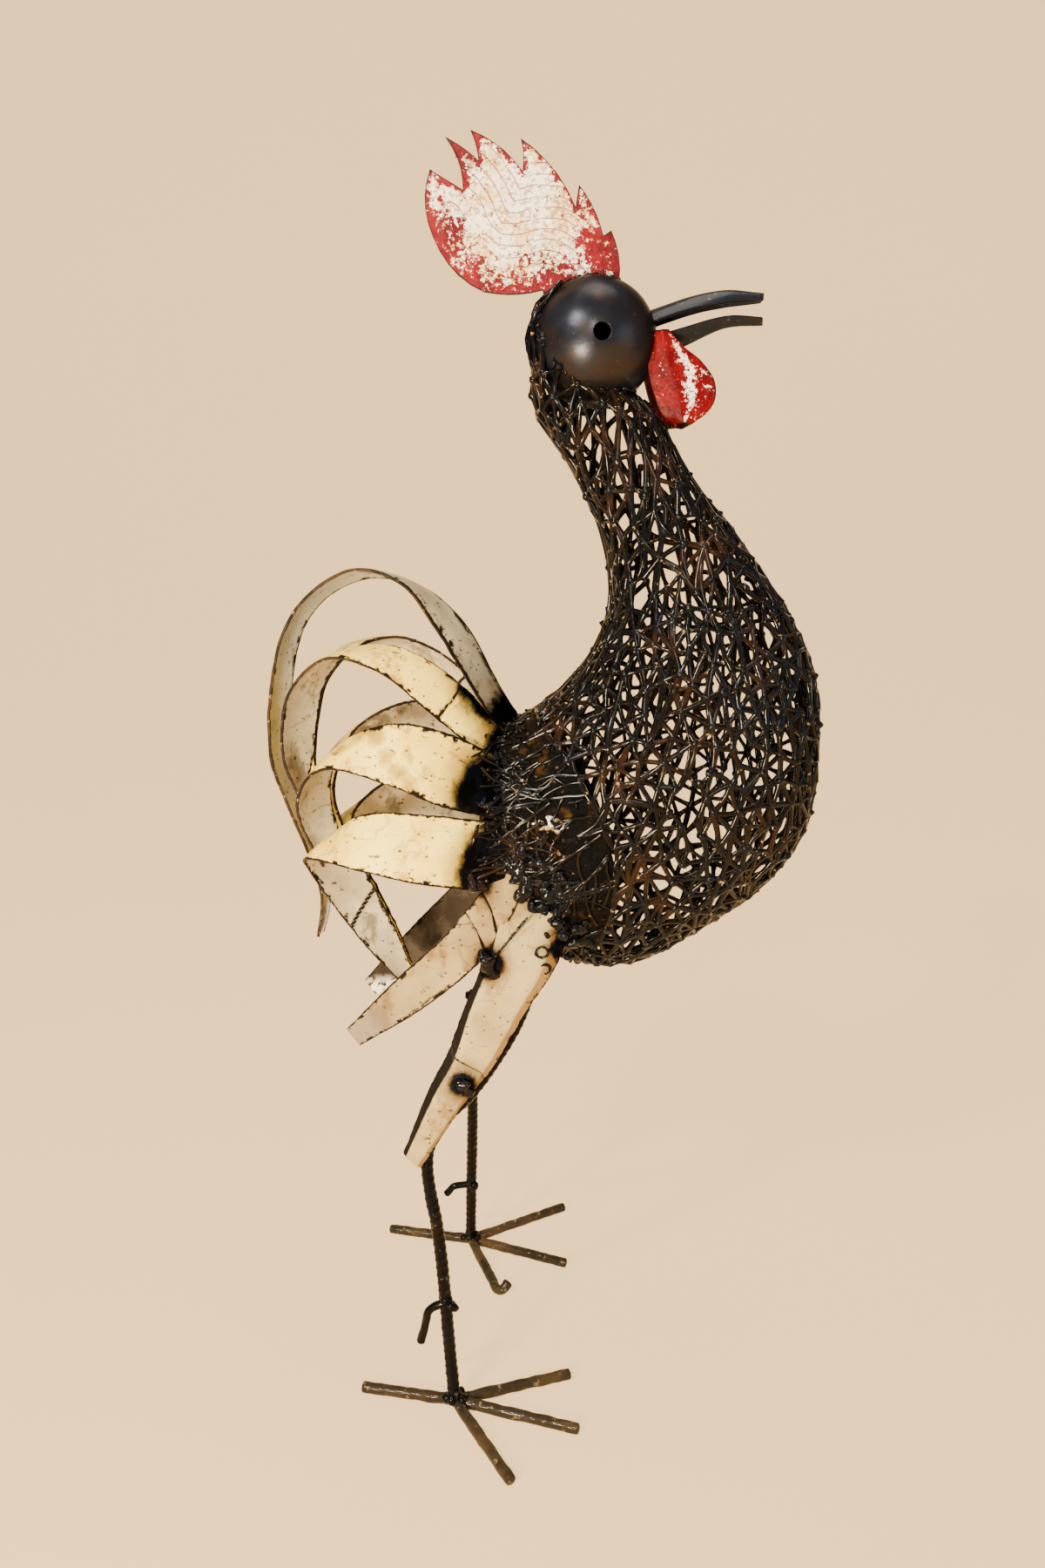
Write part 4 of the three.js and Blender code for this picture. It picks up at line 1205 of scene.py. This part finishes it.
# Painted glare on the comb: pale from its back edge inward, kept red along the rim and at the red places
wornLayer, sweepLayer, insetLayer = (bm.verts.layers.float.new(label)
                                     for label in ("worn", "sweep", "inset"))
for vert in bm.verts:
    x, z = vert.co.x, vert.co.z
    kept = sum(share * math.exp(-(((x - px / 1000) ** 2 + (z - pz / 1000) ** 2) / (reach / 1000) ** 2))
               for px, pz, reach, share in comb["redPlaces"])
    sweep, inset = toOutline(x, z, *comb["backEdge"]), toOutline(x, z)
    depth = min(sweep / comb["wornFrom"], 1.0) ** 0.7 * min(inset / comb["redRim"], 1.0)
    vert[wornLayer], vert[sweepLayer], vert[insetLayer] = depth - kept, sweep, inset
    vert.co.y = comb["relief"] * (noise.noise(Vector((x, 0, z)) * 130)
                                  + 0.6 * noise.noise(Vector((x, 7, z)) * 310))
    vert.co += ballCentre
away = [v for v in bm.verts if (v.co - ballCentre).length < ballRadius - 0.0015]
bmesh.ops.delete(bm, geom=away, context="VERTS")
bmesh.ops.recalc_face_normals(bm, faces=bm.faces)
combPiece = addPiece("comb_sheet", bm, ["combPaint", "combPaint", "cutEdge"], "comb_paint", "comb")
thicken(combPiece, comb["thickness"] - 2 * comb["relief"], 0.0004, 0.0, 1, 2)
print("comb made")

# Beak: two folded sheets

beak = {
    "upper": [(30, 18, 8, 13), (60, 28, 18, 11), (85, 32.5, 23, 8), (110, 30, 25, 3.5)],
    "lower": [(30, -14, 0, 12), (58, -3, 8, 10.5), (85, 9, 15, 7.5), (110, 11, 15, 3.5)],
    "wall": 0.0022,
    "from": 0.06,
    "grid": (20, 48),
}


def beakSurface(stations):
    folds = [fromBall(x, 0, fold) for x, fold, rim, half in stations]
    rims = [fromBall(x, 0, rim) for x, fold, rim, half in stations]
    halves = [Vector((k, half, 0)) for k, (x, fold, rim, half) in enumerate(stations)]

    def surface(u, v):
        share = beak["from"] + v * (1 - beak["from"])
        s = (u - 0.5) * 2
        fold, rim = splinePoint(folds, share), splinePoint(rims, share)
        half = splinePoint(halves, share).y / 1000
        spot = rim.lerp(fold, (1 - abs(s) ** 2.1) * 0.86)
        spot.y += half * s * (1.0 - 0.1 * (1 - abs(s)))
        if v > 0.97:
            spot.x -= 0.001 * abs(s) * (v - 0.97) / 0.03
        return spot + Vector((0, 0, 0.0003 * noise.noise(spot * 60)))
    return surface


for part in ("upper", "lower"):
    bm = layGrid(beakSurface(beak[part]), *beak["grid"], 0.08)
    bmesh.ops.recalc_face_normals(bm, faces=bm.faces)
    piece = addPiece(f"beak_{part}_sheet", bm, ["beakSteel"], "beak_steel", f"beak_{part}")
    thicken(piece, beak["wall"], 0.0005)
print("beak made")

# Wattles: two creased lobes

wattle = {
    "stations": [(5, 38, 42, 46), (-5, 36, 44, 56), (-14, 34, 46, 68), (-26, 36, 50, 77),
                 (-38, 40, 54, 77.5), (-47, 45, 56, 71), (-52, 53, 57, 61)],
    "spread": 16,
    "wall": 0.0022,
    "grid": (48, 60),
}


def wattleSurface(side):
    rear = [fromBall(r, side * (wattle["spread"] - 1), z) for z, r, c, f in wattle["stations"]]
    crease = [fromBall(c, side * (wattle["spread"] + 3), z) for z, r, c, f in wattle["stations"]]
    front = [fromBall(f, side * wattle["spread"], z) for z, r, c, f in wattle["stations"]]

    def surface(u, v):
        a, b, c = splinePoint(rear, v), splinePoint(crease, v), splinePoint(front, v)
        spot = a.lerp(b, u * 2) if u < 0.5 else b.lerp(c, u * 2 - 1)
        spot.y += 0.0005 * noise.noise(spot * 90)
        return spot
    return surface


# Painted glare on a wattle: a glint along its crease, and speckled glints over the part in front of it
def wattleGlare(u, v):
    width, fold = 0.12 - 0.06 * v, 0.86 - 0.3 * v
    crease = math.exp(-(((u - fold) / width) ** 2)) * min(1.0, v * 6) * (1.0 - 0.35 * v)
    return max(crease * 0.85, 0.12 + 0.12 * v if u > fold - 0.05 else -0.9)


for name, side in sides:
    bm = layGrid(wattleSurface(side), *wattle["grid"], 0.06, side < 0, worn=wattleGlare,
                 sweep=lambda u, v: 0.0, inset=lambda u, v: 0.03 * min(u, 1 - u, v, 1 - v))
    piece = addPiece(f"wattle_{name}_sheet", bm, ["wattlePaint", "wattlePaint", "cutEdge"], "wattle_paint",
                     f"wattle_{name}")
    thicken(piece, wattle["wall"], 0.0005, 0.0, 1, 2)
print("wattles made")

# Tail: sickle strips of sheet

tail = {
    "wall": 0.002,
    "crown": 0.002,
    "centre": [
        ((34, -12, 462), (50, 6, 466)), ((12, -14, 498), (30, 8, 498)), ((-12, -14, 538), (5, 10, 542)),
        ((-36, -13, 569), (-29, 12, 568)), ((-70, -13, 577), (-69, 12, 569)),
        ((-109, -13, 548), (-101, 12, 546)), ((-127, -12, 492), (-117, 11, 493)),
        ((-128, -11, 446), (-120, 10, 446)), ((-118, -10, 414), (-111, 9, 415)),
        ((-98, -6, 350), (-93, 5, 344)), ((-102, -1.5, 314), (-98, 2, 317))],
    "upper": [
        ((30, -34, 446), (34, -20, 466)), ((-7, -50, 480), (5, -36, 504)),
        ((-49, -56, 515), (-36, -36, 528)), ((-82, -48, 521), (-67, -22, 524)),
        ((-111, -36, 492), (-90, -8, 500)), ((-115, -30, 449), (-100, -5, 449)),
        ((-107, -30, 427), (-102, -20, 429))],
    "middle": [
        ((34, -52, 414), (34, -34, 452)), ((-7, -66, 427), (-4, -54, 474)),
        ((-38, -70, 441), (-35, -56, 480)), ((-84, -60, 450), (-73, -38, 464)),
        ((-106, -38, 425), (-86, -14, 437)), ((-105, -30, 404), (-88, -8, 420)),
        ((-92, -26, 374), (-82, -8, 392))],
    "lower": [
        ((34, -52, 364), (38, -52, 412)), ((-22, -66, 374), (-18, -60, 420)),
        ((-57, -66, 382), (-52, -56, 420)), ((-101, -42, 384), (-76, -24, 402)),
        ((-101, -26, 370), (-74, -7, 384)), ((-69, -14, 316), (-47, -4, 326)),
        ((-44, -12, 286), (-34, -4, 292))],
    "creases": {"upper": [(0.17, 0.158)], "middle": [], "lower": [(0.8, 0.76)]},
    "creaseDepth": 0.0011,
    "creaseWidth": 0.006,
    "edgeRough": 0.0006,
    "columns": 16,
    "sideRows": 200,
    "centreRows": 240,
}


# How near a sheet's own shares are to its creases, which run from one share along it to another
def pressedAt(creases, width, u, v):
    return sum(math.exp(-(((v - first - (second - first) * u) / width) ** 2)) for first, second in creases)


def creaseMark(creases, width):
    return lambda u, v: min(1.0, pressedAt(creases, width, u, v))


# Each column of a sheet starts where it leaves the rump
def leavesRump(spotAt, u, upTo):
    for k in range(81):
        v = upTo * (1 - k / 80)
        if insideRump(spotAt(u, v)):
            return v
    return 0.0


# Shares along a sheet, counted from where each of its columns leaves the rump
def fromRump(spotAt, upTo, tuck):
    starts = [leavesRump(spotAt, k / 8, upTo) for k in range(9)]

    def moved(u, v):
        k = min(int(u * 8), 7)
        start = max(0.0, starts[k] + (starts[k + 1] - starts[k]) * (u * 8 - k) - tuck)
        return start + v * (1 - start)
    return moved


def stripSurface(stations, creases, side):
    near = [place(x, -side * y, z) for (x, y, z), _ in stations]
    far = [place(x, -side * y, z) for _, (x, y, z) in stations]

    def bare(u, v):
        return splinePoint(near, v).lerp(splinePoint(far, v), u)

    fromStart = fromRump(bare, 0.4, 0.006)

    def surface(u, v):
        v = fromStart(u, v)
        a, b = splinePoint(near, v), splinePoint(far, v)
        along = splinePoint(near, min(v + 0.01, 1)) - splinePoint(near, max(v - 0.01, 0))
        up = along.cross(b - a).normalized() * side
        rough = tail["edgeRough"] * noise.noise(Vector((v * 60, u * 3, stations[0][0][2])))
        spot = a.lerp(b, u) - (b - a).normalized() * rough * (u * 2 - 1)**3
        lift = tail["crown"] * 4 * u * (1 - u) + 0.0006 * noise.noise(spot * 45)
        spot += up * (lift - tail["creaseDepth"] * pressedAt(creases, tail["creaseWidth"], u, v))
        spot.x = max(spot.x, cadBox[0].x + tail["wall"] / 2 + 0.0003)
        return spot
    return surface


rootTrees = {-1: [rumpTree], 1: [rumpTree]}


def addStrip(name, stations, rows, creases, side, finishes):
    surface = stripSurface(stations, creases, side)
    length = sum((Vector(b[0]) - Vector(a[0])).length for a, b in zip(stations, stations[1:])) / 1000
    bm = layGrid(surface, tail["columns"], rows, length, side > 0, crease=creaseMark(creases, 0.0055))
    rootTrees[side].append(BVHTree.FromBMesh(bm))
    piece = addPiece(name + "_strip", bm, [*finishes, "cutEdge"], "tail_paint", name)
    thicken(piece, tail["wall"], edgeBevel, 0.0, 1, 2)


addStrip("tail_centre", tail["centre"], tail["centreRows"], [], -1, ["centrePaint", "centreInsideShade"])
for name, side in sides:
    for part in ("upper", "middle", "lower"):
        addStrip(f"tail_{part}_{name}", tail[part], tail["sideRows"], tail["creases"][part], side,
                 [part + "Paint", "tailInsideShade"])

# Root: strands and weld metal that run from the rump over the burnt ends of the strips
root = {
    "strands": 46,
    "wander": 0.34,
    "stride": 3.2,
    "longest": 18,
    "brownShare": 0.14,
    "welds": 90,
    "blobsEach": 6,
    "lumps": [(17, 369, 6.4), (25, 362, 5.2), (12, 376, 4.4), (30, 455, 3.4), (20, 428, 3.2)],
}


def rootSpot(side, x, z, lift):
    hits = [hit for hit in (seenFrom(side, tree, x, z) for tree in rootTrees[side]) if hit]
    return max(hits, key=lambda hit: hit.y * side) + Vector((0, side * lift, 0)) if hits else None


rootWires, rootWelds, rootLumps = newWires("root_wires", longWires["wire"]), bmesh.new(), bmesh.new()
for side in (-1, 1):
    for k in range(root["strands"]):
        x, z = dice.uniform(40, 62), 348 + 132 * (k + dice.random()) / root["strands"]
        heading, end = math.pi + dice.uniform(-0.35, 0.6), dice.uniform(8, 30)
        path = []
        while x > end and len(path) < root["longest"]:
            spot = rootSpot(side, x, z, 0.0009)
            if not spot:
                break
            path.append(spot)
            heading += dice.uniform(-root["wander"], root["wander"])
            x, z = x + root["stride"] * math.cos(heading), z + root["stride"] * math.sin(heading)
        if len(path) > 3:
            path = evened(path)
            width = dice.uniform(0.55, 0.95)
            addWire(rootWires, path, [width * (0.6 if i == len(path) - 1 else 1.0)
                                      for i in range(len(path))],
                    1 if dice.random() < root["brownShare"] else 0)
    for k in range(root["welds"]):
        spot = rootSpot(side, dice.uniform(18, 48), dice.uniform(345, 482), 0.0003)
        if spot:
            addBlob(rootWelds, spot, dice.uniform(0.0009, 0.0026), True, 0.6)
    for x, z, size in root["lumps"]:
        for _ in range(root["blobsEach"]):
            spot = rootSpot(side, x + dice.uniform(-1, 1) * size * 0.7, z + dice.uniform(-1, 1) * size * 0.7,
                            0.0004)
            if spot:
                addBlob(rootLumps, spot, size / 1000 * dice.uniform(0.4, 0.75), True, 0.7)
wiresPiece(rootWires, wireFinishes)
addPiece("root_welds", rootWelds, ["weldSteel"], "rump_sheet")
fuseBlobs(addPiece("root_lumps", rootLumps, ["weldSteel"], "rump_sheet"))
print("tail made")

# Wings and thighs: plates that hang from the rump

plates = {
    "wingWall": 0.002,
    "thighWall": 0.0022,
    "wing": [
        ((30, -52, 378), (52, -52, 376)), ((11, -61, 357), (32, -61, 335)), ((-5, -60, 337), (13, -60, 312)),
        ((-39, -54, 303), (-25, -54, 279)), ((-76, -45, 262), (-67, -45, 250))],
    "thigh": [
        ((34, -52, 366), (38, -54, 368), (66, -54, 350), (80, -52, 340)),
        ((21, -62, 317), (25, -66, 317), (58, -67, 317), (70, -64, 317)),
        ((8, -64, 286), (13, -69, 286), (42, -70, 286), (50, -67, 286)),
        ((-4, -68, 254), (1, -73, 250), (20, -74, 246), (25, -72, 244)),
        ((-16, -72, 231), (-11, -77, 229), (7, -78, 228), (11, -76, 228)),
        ((-34, -78, 186), (-32, -81, 184), (-26, -82, 179), (-23, -80, 176))],
    "wingCreases": [(0.14, 0.24), (0.29, 0.36)],
    "thighCreases": [(0.55, 0.66)],
    "creaseDepth": 0.0012,
    "creaseWidth": 0.012,
    "rows": 180,
    "leftLean": 24,
    "blobsEach": 8,
    "seamBlobs": 26,
    "ringBlobs": 16,
    "lumps": [(24, -68, 318, 7.4), (20, -67, 324, 4.6), (28, -68, 311, 4.4), (6, -79, 236, 6.0),
              (10, -78, 230, 4.4), (74, -64, 336, 5.0), (80, -61, 330, 5.0),
              (70, -64, 345, 4.6), (84, -58, 340, 5.0), (64, -66, 338, 3.4), (78, -62, 321, 3.4)],
    "rings": [(60, -67.5, 327, 4.2), (62, -67, 315, 3.6)],
    "seam": ((50, -64.5, 350), (27, -67.5, 322)),
}


def plateSurface(stations, side, creases, lean=0.0):
    top, tip = stations[0][0][2], stations[-1][0][2]
    lines = [[place(s[j][0] + lean * (top - s[j][2]) / (top - tip), -side * s[j][1], s[j][2])
              for s in stations]
             for j in range(len(stations[0]))]
    last = len(lines) - 1

    def bare(u, v):
        j = min(int(u * last), last - 1)
        return splinePoint(lines[j], v).lerp(splinePoint(lines[j + 1], v), u * last - j)

    fromStart = fromRump(bare, 0.3, 0.008)

    def surface(u, v):
        v = fromStart(u, v)
        spot = bare(u, v)
        dip = plates["creaseDepth"] * pressedAt(creases, plates["creaseWidth"], u, v)
        lift = 0.0005 * noise.noise(spot * 50) - dip
        rough = 0.0006 * noise.noise(Vector((v * 40, u * 3, 5)))
        return spot + Vector((rough * (u * 2 - 1), side * lift, 0))
    return surface


def addPlate(part, name, side, columns, length, creaseWidth, finishes, lean=0.0):
    creases = plates[part + "Creases"]
    bm = layGrid(plateSurface(plates[part], side, creases, lean), columns, plates["rows"], length, side < 0,
                 crease=creaseMark(creases, creaseWidth))
    piece = addPiece(f"{part}_{name}_plate", bm, [*finishes, "cutEdge"], "plate_paint", f"{part}_{name}")
    thicken(piece, plates[part + "Wall"], edgeBevel, 0.0, 1, 2)


for name, side in sides:
    addPlate("wing", name, side, 16, 0.17, 0.013, ["platePaint", "wingInsideShade"])
    addPlate("thigh", name, side, 24, 0.2, 0.007, ["thighPaint", "plateInsideShade"],
             plates["leftLean"] * (side > 0))

plateWelds = bmesh.new()
for side in (-1, 1):
    for x, y, z, size in plates["lumps"]:
        for _ in range(plates["blobsEach"]):
            spot = place(x + dice.uniform(-0.5, 0.5) * size, -side * (y + dice.uniform(0, 1.5)),
                         z + dice.uniform(-0.5, 0.5) * size)
            addBlob(plateWelds, spot, size / 1000 * dice.uniform(0.35, 0.75), True, 0.7)
    for k in range(plates["seamBlobs"]):
        x, y, z = (a + (b - a) * k / (plates["seamBlobs"] - 1) for a, b in zip(*plates["seam"]))
        addBlob(plateWelds, place(x, -side * y, z), dice.uniform(0.0009, 0.0016), True)
    for x, y, z, radius in plates["rings"]:
        for k in range(plates["ringBlobs"]):
            turn = k * 2 * math.pi / plates["ringBlobs"]
            spot = place(x + radius * math.cos(turn), -side * y, z + radius * math.sin(turn) * 0.9)
            addBlob(plateWelds, spot, 0.0013, True)
fuseBlobs(addPiece("plate_welds", plateWelds, ["weldSteel"], "plate_paint"))
print("plates made")

# Rods: legs with rolled ribs, toes and spurs

rods = {
    "leg": {"radius": 0.00425, "around": 20, "step": 0.0009, "ribbed": 0.00042, "lumpy": 0.00025,
            "flat": (1, 0, 0)},
    "toe": {"radius": 0.00385, "around": 18, "step": 0.0016, "ribbed": 0.0, "lumpy": 0.0006,
            "flat": (0, 0, 1)},
    "spur": {"radius": 0.0029, "around": 16, "step": 0.0012, "ribbed": 0.0, "lumpy": 0.0005,
             "flat": (0, 1, 0)},
    "ribPitch": 0.0056,
    "endDepth": 0.00154,
    "endRows": 6,
    "samples": 400,
    "toeHeight": 4,
    "legFoot": 0.0065,
    "legs": {
        "right": [(60, -36, 330), (47, -56, 280), (17, -66, 231), (-17, -73, 190), (-10, -83, 115),
                  (-1, -95, 4)],
        "left": [(66, 36, 330), (56, 56, 280), (30, 64, 236), (9, 72, 190), (5, 85, 115), (2, 94, 4)]},
    "feet": {
        "right": {"ankle": (-1, -95), "hind": (-67, 13), "side": (41, -71), "middle": (87, -27),
                  "front": (83, 26)},
        "left": {"ankle": (2, 94), "hind": (-72, 15), "side": (26, -72), "middle": (82, -34),
                 "front": (83, 49)}},
    "spurs": {
        "right": [(-3, -89, 77), (-17, -89, 75), (-25, -87, 44)],
        "left": [(5, 90, 59), (-11, 90, 58), (-19, 90, 49)]},
}


# Rod along points, closed and rounded at its ends, with a radius that may vary round and along it
def addRod(name, points, kind, finish, slot):
    look, count = rods[kind], rods["samples"]
    line = [splinePoint(points, k / count) for k in range(count + 1)]
    travelled = [0.0]
    for a, b in zip(line, line[1:]):
        travelled.append(travelled[-1] + (b - a).length)
    length = travelled[-1]

    def spotAt(distance):
        low = min(max(bisect_right(travelled, distance) - 1, 0), count - 1)
        share = (distance - travelled[low]) / max(travelled[low + 1] - travelled[low], 1e-9)
        return line[low].lerp(line[low + 1], min(max(share, 0), 1))

    endRows, endDepth = rods["endRows"], rods["endDepth"]
    rows = int(length / look["step"]) + 2 * endRows

    def surface(u, v):
        row = v * rows
        turn = min(row, rows - row, endRows) / endRows * math.pi / 2
        if row < endRows:
            distance = endDepth * (1 - math.cos(turn))
        elif rows - row < endRows:
            distance = length - endDepth * (1 - math.cos(turn))
        else:
            distance = endDepth + (row - endRows) / (rows - 2 * endRows) * (length - 2 * endDepth)
        spot = spotAt(distance)
        along = (spotAt(min(distance + 0.002, length)) - spotAt(max(distance - 0.002, 0))).normalized()
        side = along.cross(Vector(look["flat"])).normalized()
        angle = u * 2 * math.pi
        out = side * math.cos(angle) + side.cross(along) * math.sin(angle)
        rib = max(0.0, math.cos(distance / rods["ribPitch"] * 2 * math.pi + angle)) ** 2.5
        rib += 0.7 * max(0.0, math.cos(2 * angle)) ** 14
        lump = noise.noise(spot * 140 + Vector((math.cos(angle), math.sin(angle), 0)) * 0.8)
        return spot + out * (look["radius"] + look["ribbed"] * rib + look["lumpy"] * lump) * math.sin(turn)

    bm = layGrid(surface, look["around"], rows, length)
    bmesh.ops.remove_doubles(bm, verts=bm.verts, dist=0.00002)
    for vert in bm.verts:
        vert.co.z = max(vert.co.z, 0.0)
    bmesh.ops.recalc_face_normals(bm, faces=bm.faces)
    addPiece(name + "_rod", bm, [finish], slot, name)


limbWelds = bmesh.new()
for name, _ in sides:
    points = [place(*p) for p in rods["legs"][name]]
    start = max((k / 200 for k in range(60) if insideRump(splinePoint(points, k / 200))), default=0.0)
    points = [splinePoint(points, start + (1 - start) * k / 16) for k in range(17)]
    points[-1].z = rods["legFoot"]
    addRod("leg_" + name, points, "leg", "legSteel", "leg_steel")

    foot = rods["feet"][name]

    def fromAnkle(x, y, z):
        return place(foot["ankle"][0] + x, foot["ankle"][1] + y, z)

    toes = {toe: [fromAnkle(foot[toe][0] * s, foot[toe][1] * s, rods["toeHeight"])
                  for s in (3 / math.hypot(*foot[toe]), 0.25, 0.5, 0.75, 1)]
            for toe in ("hind", "side", "middle", "front")}
    toes["bent"] = toes["hind"][::-1] + toes["side"]
    if name == "left":
        x, y = foot["side"]
        toes["bent"][-1:] = [fromAnkle(x * 0.93, y * 0.93, 4), fromAnkle(x + 3, y + 3, 5),
                             fromAnkle(x + 8, y + 6, 10)]
    for toe in ("bent", "middle", "front"):
        addRod(f"toe_{toe}_{name}", toes[toe], "toe", "toeSteel", "toe_steel")
    base, bend, tip = (place(*p) for p in rods["spurs"][name])
    addRod("spur_" + name, [base, base.lerp(bend, 0.6), bend.lerp(tip, 0.12), bend.lerp(tip, 0.5), tip],
           "spur", "legSteel", "leg_steel")
    for spot, size in ((fromAnkle(0, 0, 7), 0.0062), (fromAnkle(6, -3, 6), 0.0046),
                       (fromAnkle(-5, 1, 5), 0.0045), (fromAnkle(4, 5, 6), 0.004),
                       (base + Vector((0.001, -0.003, 0)), 0.0045), (base + Vector((-0.003, 0, 0.003)),
                                                                     0.004)):
        addBlob(limbWelds, spot, size, True)
for vert in limbWelds.verts:
    vert.co.z = max(vert.co.z, 0.0002)
addPiece("limb_welds", limbWelds, ["legSteel"], "leg_steel")
print("legs and feet made")
